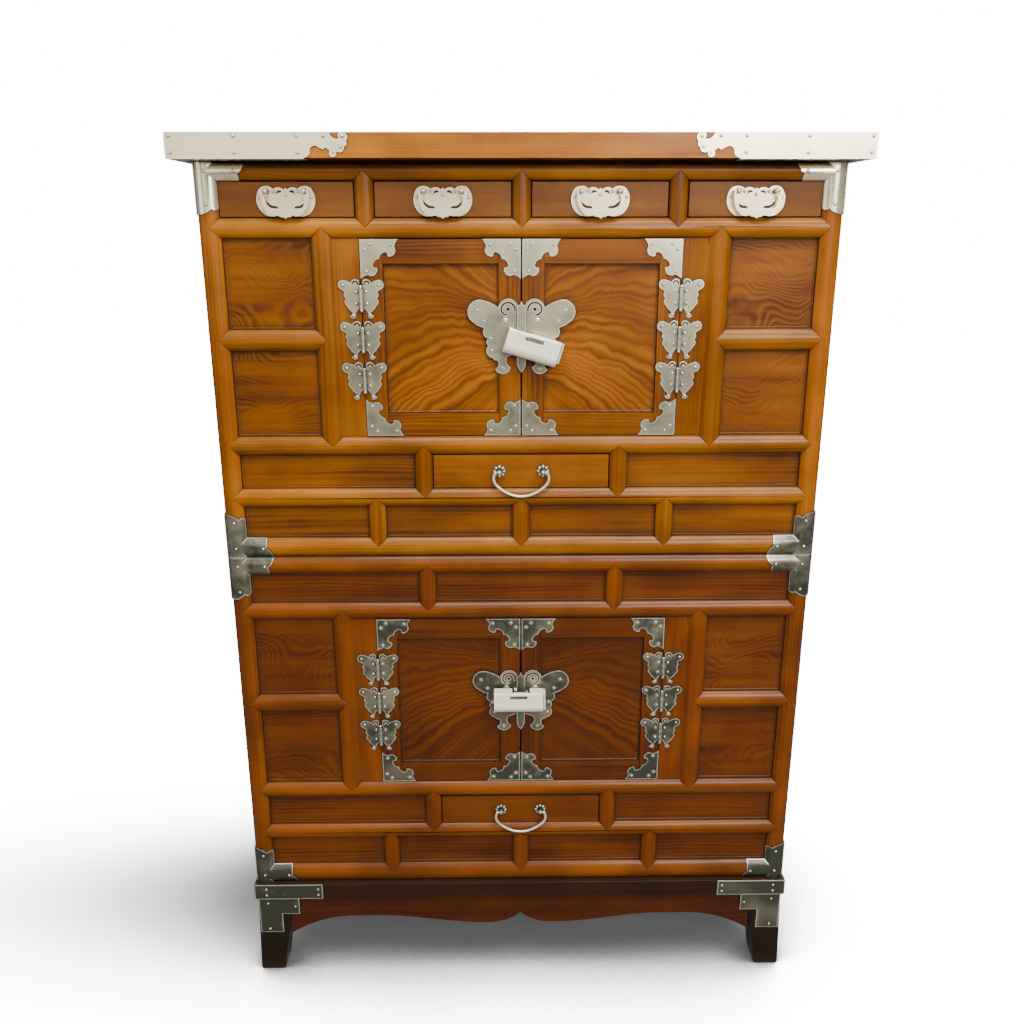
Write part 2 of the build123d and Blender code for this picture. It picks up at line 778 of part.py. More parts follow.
def moulding_mount_plate():
    """The plain plate on an end of the base moulding, round its corner."""
    x1 = half_case + moulding_proud
    y0 = front_y - moulding_proud
    front = block(x1 - moulding_mount, x1 + sheet, y0 - sheet, y0, leg_height, case_z)
    end = block(x1, x1 + sheet, y0 - sheet, y0 + moulding_mount * 0.7, leg_height, case_z)
    nails = []
    for x in (x1 - 20, x1 - moulding_mount + 8):
        nails += [nail(x, y0 - sheet, leg_height + moulding_height * part) for part in (0.3, 0.7)]
    nails.append(side_nail(x1 + sheet, y0 + moulding_mount * 0.3,
                           leg_height + moulding_height / 2))
    nails.append(side_nail(x1 + sheet, y0 + moulding_mount * 0.6,
                           leg_height + moulding_height / 2))
    return one(front.fuse(end)), nails


def foot_mount_plate():
    """The L-shaped plate over the top of a front leg and the end of the apron."""
    y = front_y - moulding_proud / 2
    width = foot_mount_arm
    outline = patch((0, 0), (-foot_mount, 0), (-foot_mount, -width), (-leg_top_width * 0.75, -width),
                    (-leg_top_width * 0.75, -foot_mount), (0, -foot_mount))
    plate = upright_sheet(Pos(half_case, leg_height) * outline, y)
    nails = [nail(half_case - width * 0.5, y - sheet, leg_height - width * 0.3),
             nail(half_case - foot_mount + 7, y - sheet, leg_height - width * 0.5),
             nail(half_case - width * 0.5, y - sheet, leg_height - foot_mount + 8)]
    return plate, nails


# ---------------------------------------------------------------------------
# Doors with their hinges
# ---------------------------------------------------------------------------


def door_box(tier):
    """Left, right, bottom and top of the right door."""
    return (door_middle_gap / 2, hinge_line_x - hinge_gap / 2,
            tier.bay_bottom + door_gap, tier.bay_top - door_gap)


def door_frame(tier):
    """Stiles, rails and panel of the right door."""
    x0, x1, z0, z1 = door_box(tier)
    y0 = square_y
    y1 = square_y + door_thickness
    face_y = y0 + panel_recess
    panel = block(x0 + door_stile - tongue, x1 - door_stile + tongue, face_y,
                  face_y + panel_thickness, z0 + door_rail - tongue, z1 - door_rail + tongue)
    frame = [block(x0, x0 + door_stile, y0, y1, z0, z1), block(x1 - door_stile, x1, y0, y1, z0, z1),
             block(x0 + door_stile, x1 - door_stile, y0, y1, z0, z0 + door_rail),
             block(x0 + door_stile, x1 - door_stile, y0, y1, z1 - door_rail, z1)]
    frame = [minus(piece, [panel]) for piece in frame]
    ring_box = (x0 + door_stile, x1 - door_stile, z0 + door_rail, z1 - door_rail)
    ring = block(ring_box[0], ring_box[1], face_y - bead_proud, face_y, ring_box[2], ring_box[3])
    hole = block(ring_box[0] + bead_width, ring_box[1] - bead_width, face_y - bead_proud - 1,
                 face_y, ring_box[2] + bead_width, ring_box[3] - bead_width)
    return frame, one(panel.fuse(one(ring.cut(hole))))


def hinge_heights(tier):
    """Middle heights of the three hinges of a door."""
    return [tier.bay_middle + hinge_pitch * step for step in (1, 0, -1)]


def leaf_outline():
    """One wing of a butterfly hinge, from the pin's axis towards +X, about its middle."""
    edge = (knuckle_radius + leaf_clear) * 33 / leaf_width
    outline = drawn(
        leaf_width / 33, leaf_height / 56, (edge, 16), ((8, 28), (14.8, 22.6)),
        ((20, 25.4), (27, 26.8)), ((33, 20.5), (27.5, 12.5)), ((25.5, 11.2), (24, 8.5)),
        ((25.2, 4), (22.4, 0.5)), ((24.6, -4), (21.5, -10.5)), ((18.6, -15), (13.6, -19.5)),
        ((14.4, -22.3), (17.3, -24)), ((14, -28), (9, -26)), ((8.4, -19.5), (edge, -13.8)))
    curl = drawn(
        leaf_width / 33, leaf_height / 56, (4.3, 19), ((8.2, 25.9), (13, 20.4)), (10.9, 20),
        ((8.2, 23.4), (6.3, 19.4)))
    inside = Pos(knuckle_radius + leaf_clear - leaf_width, 0) * Rectangle(2 * leaf_width,
                                                                          2 * leaf_height)
    return outline - curl - inside


def leaf_nails(x, y, z):
    """Nail places of a leaf whose pin stands at x, on the side of +X."""
    wide = leaf_width / 33
    high = leaf_height / 56
    spots = [(26.2, 19.5), (7.4, 10), (8, -7), (12.6, -23.6)]
    return [nail(x + u * wide, y, z + v * high) for u, v in spots]


def knuckle(z, level):
    """One third of a hinge's barrel, 1 the top one and -1 the bottom one."""
    pitch = knuckle_length + knuckle_gap
    bottom = z + level * pitch - knuckle_length / 2
    axis_y = square_y - hinge_axis_out
    tube = Solid.make_cylinder(knuckle_radius, knuckle_length)
    bore = Solid.make_cylinder(pin_radius + pin_play, knuckle_length)
    web = block(0, knuckle_radius + leaf_clear + 1, hinge_axis_out - sheet, hinge_axis_out,
                0, knuckle_length)
    ring = one(one(tube.fuse(web)).cut(bore))
    return ring.moved(Location((hinge_line_x, axis_y, bottom)))


def hinge_pin(z):
    """The pin through the three knuckles, with a ball at each end."""
    length = 3 * knuckle_length + 2 * knuckle_gap
    axis_y = square_y - hinge_axis_out
    bottom = z - length / 2 - knuckle_gap
    pin = rod((hinge_line_x, axis_y, bottom), (hinge_line_x, axis_y, bottom + length + 2 * knuckle_gap),
              pin_radius)
    for height in (bottom - 0.6 * knuckle_radius, bottom + length + 2 * knuckle_gap
                   + 0.6 * knuckle_radius):
        ball = Solid.make_sphere(knuckle_radius, angle1=-90, angle2=90, angle3=360)
        pin = one(pin.fuse(ball.moved(Location((hinge_line_x, axis_y, height)))))
    return pin


def jamb_leaf(z):
    """The fixed wing of the right-hand hinge, with the outer two knuckles."""
    wing = upright_sheet(Pos(hinge_line_x, z) * leaf_outline(), square_y)
    for level in (1, -1):
        wing = one(wing.fuse(knuckle(z, level)))
    return wing


def door_leaf(z):
    """The moving wing of the right-hand hinge, with the middle knuckle."""
    outline = mirror(leaf_outline(), Plane.YZ)
    wing = upright_sheet(Pos(hinge_line_x, z) * outline, square_y)
    web_side = knuckle(z, 0).mirror(Plane.YZ).moved(Location((2 * hinge_line_x, 0, 0)))
    return one(wing.fuse(web_side))


def corner_plate_outline():
    """A door's corner plate, its corner on the origin, towards +X and +Z."""
    size = corner_plate / 55.5
    return drawn(
        size, size, (0, 0), (55.5, 0), ((51.5, 5), (49.6, 10.6)), ((51, 18), (46.3, 23.2)),
        ((42.8, 24.2), (39.4, 23.2)), ((37.5, 18.2), (33.5, 18.9)), ((29.2, 22.2), (27.5, 27.5)),
        ((22.2, 29.2), (18.9, 33.5)), ((18.2, 37.5), (23.2, 39.4)), ((24.2, 42.8), (23.2, 46.3)),
        ((18, 51), (10.6, 49.6)), ((5, 51.5), (0, 55.5)))


def door_corner_plates(tier):
    """The four plates on the corners of the right door, with their nails."""
    x0, x1, z0, z1 = door_box(tier)
    size = corner_plate / 55.5
    plates = []
    nails = []
    for x, side_x in ((x0, 1), (x1, -1)):
        for z, side_z in ((z0, 1), (z1, -1)):
            outline = corner_plate_outline()
            if side_x < 0:
                outline = mirror(outline, Plane.YZ)
            if side_z < 0:
                outline = mirror(outline, Plane.XZ)
            plates.append(upright_sheet(Pos(x, z) * outline, square_y))
            for u, v in ((15, 7), (7, 14.5), (44.5, 7.7), (9, 45)):
                nails.append(nail(x + side_x * u * size, square_y - sheet, z + side_z * v * size))
    return plates, nails


def wing_outline():
    """The right half of the butterfly lock plate, about the plate's middle."""
    wide = wing_width / 79
    high = wing_height / 110
    edge = door_middle_gap / 2 / wide
    outline = drawn(
        wide, high, (edge, 43), (4.6, 43), ((19, 55), (34, 42.5)), ((46.8, 50), (61, 53.8)),
        ((79, 38), (70, 20.6)), ((63, 16), (54.5, 13.4)), ((56.6, 6.5), (48.7, -2.4)),
        ((51.8, -7.5), (48.7, -12.8)), ((51.8, -22.5), (42.9, -30.7)), ((39.5, -33.8), (35.7, -34.6)),
        ((34.4, -41.5), (39, -47.6)), ((27.5, -54.9), (15.8, -45)), ((21.8, -38), (20.8, -29.4)),
        ((12, -26), (edge, -23)))
    scroll = drawn(
        wide, high, (8.8, 36.5), ((19.5, 50.8), (30.8, 41)), ((28, 33.5), (20.5, 30.8)), (20.5, 33),
        ((26.3, 35.2), (28.5, 41)), ((19.5, 48.4), (11, 37)))
    return outline - scroll - disc(19.6 * wide, 40 * high, 2.6)


def lock_plate(z):
    """The wing of the lock plate on the right door, with a ring round one nail."""
    wide = wing_width / 79
    high = wing_height / 110
    plate = upright_sheet(Pos(0, z) * wing_outline(), square_y)
    face = square_y - sheet
    rose = Solid.make_cone(4.8, 3.4, 1.0).moved(Location((23.6 * wide, face, z + 22.5 * high),
                                                         (90, 0, 0)))
    plate = one(plate.fuse(rose))
    nails = [nail(23.6 * wide, face - 1.0, z + 22.5 * high)]
    for u, v in ((65, 38.5), (55, 23), (45.7, -2.2), (44, -20), (27.8, -46)):
        nails.append(nail(u * wide, face, z + v * high))
    return plate, nails


def spine(z):
    """The pointed strip that covers the joint, fixed to the right door."""
    half = spine_length / 2
    width = spine_width / 2
    neck = half - spine_point
    outline = drawn(
        1, 1, (0, -half), ((width * 0.8, -neck - 5), (width, -neck)), (width, neck),
        ((width * 1.05, neck + 3.5), (width * 0.35, neck + 7)), (0, half),
        (-width * 0.35, neck + 7), ((-width * 1.05, neck + 3.5), (-width, neck)), (-width, -neck),
        ((-width * 0.8, -neck - 5), (0, -half)))
    strip = upright_sheet(Pos(0, z) * outline, square_y - sheet - spine_lift, sheet)
    pad = block(door_middle_gap / 2, width, square_y - sheet - spine_lift, square_y - sheet,
                z - neck, z + neck)
    return one(strip.fuse(pad))


def ring(x, y, z):
    """The eye of a staple, lying across the doors."""
    x0 = x - staple_thickness / 2
    x1 = x + staple_thickness / 2
    return one(rod((x0, y, z), (x1, y, z), staple_eye + staple_wall).cut(
        rod((x0, y, z), (x1, y, z), staple_eye)))


def right_staple(z):
    """A round eye on a stem; the bar of the lock passes through it."""
    face = square_y - sheet
    x0 = staple_x - staple_thickness / 2
    stem = block(x0, x0 + staple_thickness, face - bar_out + staple_eye + staple_wall / 2, face,
                 z - staple_wall, z + staple_wall)
    return one(ring(staple_x, face - bar_out, z).fuse(stem))


def left_staple(z):
    """A low arch, half let into the door, that stands under the lock."""
    face = square_y - sheet
    reach = staple_eye + staple_wall
    arch = ring(-staple_x, face, z)
    return one(arch.cut(block(-staple_x - reach, -staple_x + reach, face, face + reach,
                              z - reach, z + reach)))


def lock_places(tier):
    """Middle of the lock plates, height and tilt of the lock's bar, and its shift."""
    middle = tier.bay_middle
    if tier is upper:
        return middle + upper_plate_rise, middle + upper_lock_rise, upper_lock_tilt, upper_lock_shift
    return middle + lower_plate_rise, middle + lower_lock_rise, 0.0, lower_lock_shift


def door_hardware(tier):
    """Hinge leaves, corner plates, lock plate and nails of the right door."""
    plate_z = lock_places(tier)[0]
    plates, nails = door_corner_plates(tier)
    for z in hinge_heights(tier):
        plates.append(door_leaf(z))
        nails += [n.mirror(Plane.YZ).moved(Location((2 * hinge_line_x, 0, 0)))
                  for n in leaf_nails(hinge_line_x, square_y - sheet, z)]
    wing, wing_nails = lock_plate(plate_z)
    return plates + [wing], nails + wing_nails


def lock_parts(tier):
    """Body and bolt of the padlock, hanging by its bar in the right staple."""
    _, bar_z, tilt, shift = lock_places(tier)
    half = lock_length / 2
    top = bar_below_top
    foot = top - lock_height
    back = bar_out - lock_back_clear
    front = back - lock_depth
    cut = lock_round * (1 - math.sqrt(0.5))
    section = Wire([
        Line((-half, back, top), (-half, front + lock_edge, top)),
        Line((-half, front + lock_edge, top), (-half, front, top - lock_edge)),
        Line((-half, front, top - lock_edge), (-half, front, foot + lock_round)),
        ThreePointArc((-half, front, foot + lock_round), (-half, front + cut, foot + cut),
                      (-half, front + lock_round, foot)),
        Line((-half, front + lock_round, foot), (-half, back - lock_edge, foot)),
        Line((-half, back - lock_edge, foot), (-half, back, foot + lock_edge)),
        Line((-half, back, foot + lock_edge), (-half, back, top)),
    ])
    body = Solid.extrude(Face(section), Vector(lock_length, 0, 0))
    apart = 2 * staple_x / math.cos(math.radians(tilt))
    side = staple_thickness / 2 + pocket_side_play
    pocket = block(-shift - apart - side, -shift + side, front + lock_wall, back + 1,
                   -staple_eye - staple_wall - pocket_play, top + 1)
    window = block(-window_width / 2, window_width / 2, front - 1, front + lock_wall,
                   -window_height / 2, window_height / 2)
    bore = rod((-half - 1, 0, 0), (half + 1, 0, 0), bar_radius + pin_play)
    body = one(body.cut(pocket, window, bore))
    bar = rod((-half + bolt_plate, 0, 0), (half + knuckle_gap, 0, 0), bar_radius)
    plate = block(half + knuckle_gap, half + knuckle_gap + bolt_plate, front + 3, back - 1,
                  foot + 8, top - 1)
    bolt = one(bar.fuse(plate))
    place = Location((staple_x, square_y - sheet - bar_out, bar_z), (0, tilt, 0))
    place = place * Location((shift, 0, 0))
    return body.moved(place), bolt.moved(place)


# ---------------------------------------------------------------------------
# Drawers with their handles
# ---------------------------------------------------------------------------


def drawer(x0, x1, z0, z1):
    """A drawer of five boards in an opening."""
    face = front_y + drawer_face_back
    front_back = face + drawer_front
    end = inside_back_y - drawer_back_space
    left = x0 + drawer_play
    right = x1 - drawer_play
    under = z0 + runner_play
    over = z1 - drawer_gap - 4
    front = block(x0 + drawer_gap, x1 - drawer_gap, face, front_back,
                  z0 + drawer_gap, z1 - drawer_gap)
    # The rounded edges of the rails reach past the face, so the front stays inside the opening.
    sides = [block(left, left + drawer_side, front_back, end, under, over),
             block(right - drawer_side, right, front_back, end, under, over)]
    back = block(left + drawer_side, right - drawer_side, end - drawer_side, end, under, over)
    bottom = block(left + drawer_side, right - drawer_side, front_back, end - drawer_side,
                   under, under + drawer_bottom)
    return [front, *sides, back, bottom]


def batwing_outline():
    """A batwing back plate, its top middle on the origin."""
    wide = batwing_width / 83
    high = batwing_height / 41
    half = drawn(
        wide, high, (0, -2.4), (2.7, -5.1), ((10.5, -1.7), (17, -4.4)), ((26.5, 0), (36.7, -4)),
        ((41.5, -17), (40, -27)), ((34.5, -35.5), (25, -40.8)), ((19, -41), (14.3, -39.4)),
        ((7, -38), (0, -41)))
    upper_slot = drawn(wide, high, (5, -8.4), ((9.5, -5.6), (13, -9)), (14.6, -13.2), (11.2, -9.8))
    lower_slot = drawn(wide, high, (28, -18.5), ((25.2, -27), (17, -30.6)), (10.5, -30.5),
                       ((12.5, -27.6), (17, -27)), ((23.4, -24), (28, -18.5)))
    half -= upper_slot
    half -= lower_slot
    return half + mirror(half, Plane.YZ)


def pivot_post(x, z, plate_y):
    """A handle's post with a ball on its end and a cross hole for the pivot."""
    axis_y = plate_y - post_out
    stem = rod((x, plate_y, z), (x, axis_y, z), post_radius)
    ball = Solid.make_sphere(post_ball, angle1=-90, angle2=90, angle3=360)
    post = one(stem.fuse(ball.moved(Location((x, axis_y, z)))))
    hole = rod((x - 2 * post_ball, axis_y, z), (x + 2 * post_ball, axis_y, z),
               pivot_radius + pivot_play)
    return one(post.cut(hole))


def batwing(x, top_z):
    """Plate with its posts, and nails."""
    plate_y = front_y + drawer_face_back
    plate = upright_sheet(Pos(x, top_z) * batwing_outline(), plate_y)
    for side in (-1, 1):
        post = pivot_post(x + side * batwing_post_x, top_z - batwing_post_drop, plate_y - sheet)
        plate = one(plate.fuse(post))
    spots = [(-37, -15), (37, -15), (0, -12), (-17, -7.6), (17, -7.6)]
    return plate, [nail(x + u, plate_y - sheet, top_z + v) for u, v in spots]


def batwing_bail(x, top_z):
    """The broad crescent drop handle, hanging between the posts."""
    pivot_z = top_z - batwing_post_drop
    axis_y = front_y + drawer_face_back - sheet - post_out
    wide = batwing_post_x / 27
    high = bail_drop / 38
    half = drawn(
        wide, high, (0, -25), (5, -26.5), ((7.5, -24.4), (10, -24)), (19, -24),
        ((24.6, -22.5), (27, -17)), ((28.6, -10), (26.6, -4.8)), (28.8, -4.8),
        ((32.4, -14), (26.6, -27)), ((21, -33), (13, -33.5)), ((10, -33), (7, -35.5)),
        ((4, -35), (0, -38)))
    outline = half + mirror(half, Plane.YZ)
    bail = upright_sheet(Pos(x, pivot_z) * outline, axis_y + bail_thickness / 2, bail_thickness)
    hook = batwing_post_x + post_ball + hook_clear + hook_width / 2
    for side in (-1, 1):
        middle = x + side * hook
        pin = rod((x + side * (batwing_post_x - 1), axis_y, pivot_z), (middle, axis_y, pivot_z),
                  pivot_radius)
        arm = block(middle - hook_width / 2, middle + hook_width / 2,
                    axis_y - bail_thickness / 2, axis_y + bail_thickness / 2,
                    pivot_z - 14 * high, pivot_z + pivot_radius)
        bail = one(one(bail.fuse(arm)).fuse(pin))
    return bail


def rosettes(z):
    """Two beaded flowers with the posts that carry a loop handle."""
    plate_y = front_y + drawer_face_back
    face = plate_y - sheet
    found = []
    for side in (-1, 1):
        x = side * rosette_x
        spots = []
        for turn in range(petals):
            angle = 2 * math.pi * turn / petals
            spots.append((x + math.cos(angle) * petal_ring, z + math.sin(angle) * petal_ring))
        outline = disc(x, z, petal_ring)
        for spot in spots:
            outline += disc(*spot, petal_radius)
        flower = upright_sheet(outline, plate_y)
        for spot in spots:
            flower = one(flower.fuse(dome(petal_radius - bead_step, spot[0], face, spot[1])))
        found.append(one(flower.fuse(pivot_post(x, z, face))))
    return found


def loop_bail(z):
    """The round-wire loop, its ends hooked into the posts from outside."""
    axis_y = front_y + drawer_face_back - sheet - post_out
    half = loop_width / 2 - loop_radius
    hook_x = rosette_x + post_ball + hook_clear + loop_knob
    bow = ThreePointArc((-half, axis_y, z - loop_shoulder), (0, axis_y, z - loop_drop),
                        (half, axis_y, z - loop_shoulder))
    turn = Vector(half - (half - hook_x) * 0.25, axis_y, z - loop_shoulder * 0.3)
    path = Spline((-hook_x, axis_y, z), (-turn.X, axis_y, turn.Z),
                  *[bow @ share for share in (0, 0.2, 0.4, 0.6, 0.8, 1)],
                  (turn.X, axis_y, turn.Z), (hook_x, axis_y, z))
    start = path @ 0
    ring = Wire.make_circle(loop_radius, Plane(origin=start, z_dir=path % 0))
    loop = one(Solid.sweep(ring, path=path))
    for side in (-1, 1):
        knob = Solid.make_sphere(loop_knob, angle1=-90, angle2=90, angle3=360)
        pin = rod((side * (rosette_x - 1), axis_y, z), (side * hook_x, axis_y, z), pivot_radius)
        loop = one(one(loop.fuse(knob.moved(Location((side * hook_x, axis_y, z))))).fuse(pin))
    return loop


def main():
    os.makedirs("parts", exist_ok=True)
    case_nails = []
    for name, tier in (("lower", lower), ("upper", upper)):
        panels = front_panels(tier)
        sides = side_panels(tier)
        backs = back_panels(tier)
        save(f"{name}_front_panels", panels)
        save(f"{name}_side_panels", sides)
        save(f"{name}_front_rails", front_rails(tier, panels))
        save(f"{name}_uprights", uprights(tier, panels))
        save(f"{name}_side_frames", posts(tier, panels + sides + backs) + side_rails(tier, sides))
        save(f"{name}_back", back_frame(tier, backs))
        save(f"{name}_inner_boards", inner_boards(tier))
        plates, nails = corner_mounts(tier)
        save(f"{name}_corner_mounts", plates)
        case_nails += nails
        frame, panel = door_frame(tier)
        plates, nails = door_hardware(tier)
        plate_z, bar_z = lock_places(tier)[:2]
        for side, flip in (("right", False), ("left", True)):
            pick = mirrored if flip else list
            save(f"{name}_{side}_door_frame", pick(frame))
            save(f"{name}_{side}_door_panel", pick([panel]))
            extra = [left_staple(bar_z)] if flip else [spine(plate_z), right_staple(bar_z)]
            save(f"{name}_{side}_door_plates", pick(plates) + extra + pick(nails))
        body, bolt = lock_parts(tier)
        save(f"{name}_lock_body", [body])
        save(f"{name}_lock_bolt", [bolt])
        edge = centre_field_x - bar_width / 2
        save(f"{name}_centre_drawer", drawer(-edge, edge, tier.mid_bottom, tier.mid_top))
        pivot_z = (tier.mid_bottom + tier.mid_top) / 2
        save(f"{name}_centre_rosettes", rosettes(pivot_z))
        save(f"{name}_centre_bail", [loop_bail(pivot_z)])
    row = (upper.high_bottom, upper.high_top)
    plate_top = sum(row) / 2 + batwing_above
    edge = bar_width / 2
    spans = [(-inner_x, -quarter_x - edge), (-quarter_x + edge, -edge),
             (edge, quarter_x - edge), (quarter_x + edge, inner_x)]
    for number, (x0, x1) in enumerate(spans, 1):
        middle = (x0 + x1) / 2
        plate, nails = batwing(middle, plate_top)
        save(f"drawer_{number}", drawer(x0, x1, *row))
        save(f"drawer_{number}_plate", [plate, *nails])
        save(f"drawer_{number}_bail", [batwing_bail(middle, plate_top)])
    leaves = []
    pins = []
    for tier in (lower, upper):
        for z in hinge_heights(tier):
            leaves.append(jamb_leaf(z))
            pins.append(hinge_pin(z))
            case_nails += both(leaf_nails(hinge_line_x, square_y - sheet, z))
    save("hinge_jamb_leaves", both(leaves))
    save("hinge_pins", both(pins))
    save("base_moulding", moulding())
    save("base_legs", legs())
    save("base_aprons", aprons())
    save("cap_board", cap())
    mounts = []
    for plate, nails in (moulding_mount_plate(), foot_mount_plate()):
        mounts.append(plate)
        case_nails += both(nails)
    save("base_mounts", both(mounts))
    plate, nails = cap_mount()
    save("cap_mounts", both([plate]))
    save("case_nails", case_nails + both(nails))


main()
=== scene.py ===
# %% [markdown]
# # A two tier chest in oiled elm with white bronze fittings
# Two cabinets stand on a scalloped base under a flat cap. Rounded rails and bars lie over
# sunk panels, and thin cast plates cover the corners, hinges and locks. The joiner's solids
# come ready made, so this lesson is about what turns them into wood and metal: softened
# edges, grain that follows each board, dirt in the corners, and light.

# %% Load the frame
import bmesh
import bpy
import math
from mathutils import Matrix, Vector


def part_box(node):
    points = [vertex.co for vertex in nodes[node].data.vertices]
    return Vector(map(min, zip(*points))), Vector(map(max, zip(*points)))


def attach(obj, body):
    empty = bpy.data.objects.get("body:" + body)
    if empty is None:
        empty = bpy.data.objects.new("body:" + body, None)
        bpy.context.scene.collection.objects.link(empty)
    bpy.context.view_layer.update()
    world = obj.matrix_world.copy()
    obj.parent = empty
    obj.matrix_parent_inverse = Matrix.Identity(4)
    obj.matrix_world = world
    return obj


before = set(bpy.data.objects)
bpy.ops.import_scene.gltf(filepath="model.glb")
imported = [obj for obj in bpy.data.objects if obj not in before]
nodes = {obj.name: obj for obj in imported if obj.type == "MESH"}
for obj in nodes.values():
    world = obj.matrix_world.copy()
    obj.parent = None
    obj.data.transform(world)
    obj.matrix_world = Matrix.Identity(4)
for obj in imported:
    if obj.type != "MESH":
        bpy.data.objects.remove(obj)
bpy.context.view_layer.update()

# %% [markdown]
# ## Camera
# The chest was seen from a standing height, close enough that it narrows towards its feet.
# Such a view needs a wide lens and a camera that looks down; both are written as angles
# and a place, so that they can be read and changed, instead of a matrix of bare numbers.

# %% Camera
CREST_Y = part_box("upper_front_rails")[0].y          # front of the rounded rails
EYE = (-0.033, CREST_Y - 1.413, 1.276)              # metres
YAW, PITCH, ROLL = 0.76, 16.6, -0.06                # degrees; the pitch looks down
SENSOR, FOCAL_PIXELS, FRAME_PIXELS = 36, 950, 1024


def look(place, yaw, pitch, roll):
    """A camera's matrix from its place and three angles in degrees."""
    yaw, pitch, roll = (math.radians(angle) for angle in (yaw, pitch, roll))
    forward = Vector((math.sin(yaw) * math.cos(pitch), math.cos(yaw) * math.cos(pitch),
                      -math.sin(pitch)))
    right = Vector((math.cos(yaw), -math.sin(yaw), 0))
    up = right.cross(forward)
    across = right * math.cos(roll) + up * math.sin(roll)
    above = up * math.cos(roll) - right * math.sin(roll)
    turn = Matrix((across, above, -forward)).transposed().to_4x4()
    return Matrix.Translation(place) @ turn


lens = bpy.data.cameras.new("standing_view")
lens.sensor_width = SENSOR
lens.lens = SENSOR * FOCAL_PIXELS / FRAME_PIXELS
camera = bpy.data.objects.new("standing_view", lens)
camera.matrix_world = look(EYE, YAW, PITCH, ROLL)
bpy.context.collection.objects.link(camera)
bpy.context.scene.camera = camera
print("camera: lens", round(lens.lens, 1), "mm at", [round(v, 3) for v in camera.location])

# %% [markdown]
# ## Floor and light
# A plain pale floor glows white to the camera and carries a painted shadow, dark where the
# chest stands close and soft where it leans to the left. An overhead box a little in front
# of the chest brightens the upper half of every rounded rail and leaves the lower half dark.
# A key box at eye height keeps the cap's shadow short, and a wide panel fills in from the
# front. Floor and world are white to the camera, but dark low down to everything else: a
# white floor would be mirrored in every low plate and wash out the wood.

# %% Floor
floor_mesh = bpy.data.meshes.new("studio_floor")
floor_mesh.from_pydata([(-9, -5, 0), (9, -5, 0), (9, 9, 0), (-9, 9, 0)], [], [(0, 1, 2, 3)])
studio_floor = bpy.data.objects.new("studio_floor", floor_mesh)
bpy.context.collection.objects.link(studio_floor)
print("floor:", [round(side, 1) for side in studio_floor.dimensions[:2]], "metres")


# %% Node helper
def node(tree, kind, inputs=None, **settings):
    """A new shader node with its settings and its unlinked or linked inputs."""
    made = tree.nodes.new(kind)
    for name, value in settings.items():
        setattr(made, name, value)
    for name, value in (inputs or {}).items():
        if isinstance(value, bpy.types.NodeSocket):
            tree.links.new(value, made.inputs[name])
        else:
            made.inputs[name].default_value = value
    return made


def maths(tree, operation, *values):
    """The result of a Math node on numbers or sockets."""
    return node(tree, "ShaderNodeMath", dict(enumerate(values)), operation=operation).outputs[0]


def mixed(tree, amount, first, second, blend="MIX"):
    """Two colours mixed, each a socket or a colour."""
    made = node(tree, "ShaderNodeMix", data_type="RGBA", blend_type=blend)
    for socket, value in ((made.inputs[0], amount), (made.inputs[6], first), (made.inputs[7], second)):
        if isinstance(value, bpy.types.NodeSocket):
            tree.links.new(value, socket)
        else:
            socket.default_value = value if isinstance(value, (int, float)) else (*value, 1)
    return made.outputs[2]


def ramp(tree, value, low, high, start=0.0, end=1.0):
    """A value stretched between two limits, with soft ends."""
    return node(tree, "ShaderNodeMapRange", {"Value": value, "From Min": low, "From Max": high,
                                             "To Min": start, "To Max": end},
                interpolation_type="SMOOTHSTEP").outputs[0]


def noise(tree, place, scale, detail=3.0, rough=0.5):
    """The value of a noise texture at a place."""
    return node(tree, "ShaderNodeTexNoise", {"Vector": place, "Scale": scale, "Detail": detail,
                                             "Roughness": rough}).outputs[0]


def blank_material(name):
    """A material with an empty tree."""
    material = bpy.data.materials.new(name)
    material.use_nodes = True
    material.node_tree.nodes.clear()
    return material


# %% Floor finish
# The floor's shadow is painted: its glow to the camera is dimmed where the Ambient Occlusion node finds
# the chest near, and in a band that leans to the left.
SHADOW_EDGE, SHADOW_FADE, SHADOW_HALF_BAND, SHADOW_DEPTH = -0.46, 0.45, 0.2, 0.72
DARKEST, BRIGHTEST = 0.08, 16.0                     # the floor as the camera sees it
AO_REACH = 0.45

floor_paint = blank_material("pale_floor")
tree = floor_paint.node_tree
spot = node(tree, "ShaderNodeTexCoord").outputs["Object"]
x, y, z = node(tree, "ShaderNodeSeparateXYZ", {"Vector": spot}).outputs
open_sky = node(tree, "ShaderNodeAmbientOcclusion", {"Distance": AO_REACH}, samples=24).outputs["AO"]
beside = maths(tree, "MAXIMUM", maths(tree, "SUBTRACT", SHADOW_EDGE, x), 0.0)
fade = maths(tree, "EXPONENT", maths(tree, "MULTIPLY", maths(tree, "POWER", maths(
    tree, "DIVIDE", beside, SHADOW_FADE), 1.3), -1.0))
band = maths(tree, "EXPONENT", maths(tree, "MULTIPLY", maths(tree, "POWER", maths(
    tree, "ABSOLUTE", maths(tree, "DIVIDE", y, SHADOW_HALF_BAND)), 2.0), -1.0))
painted_lean_shadow = maths(tree, "MULTIPLY", maths(tree, "MULTIPLY", fade, band),
             ramp(tree, x, -0.3, -0.55, 0.0, SHADOW_DEPTH))
# Painted floor light: the full glow, less the painted shadow near the chest and to the left.
painted_floor_light = maths(tree, "MULTIPLY", ramp(tree, open_sky, 0.3, 0.86), maths(tree, "SUBTRACT", 1.0, painted_lean_shadow))
painted_floor_glow = maths(tree, "MULTIPLY", maths(tree, "POWER", BRIGHTEST / DARKEST, painted_floor_light), DARKEST)
ray = node(tree, "ShaderNodeLightPath").outputs["Is Camera Ray"]
shade = mixed(tree, noise(tree, spot, 6.0, 4.0), (0.21, 0.21, 0.21), (0.23, 0.23, 0.23))
shade = mixed(tree, ray, shade, (0.05, 0.05, 0.05))
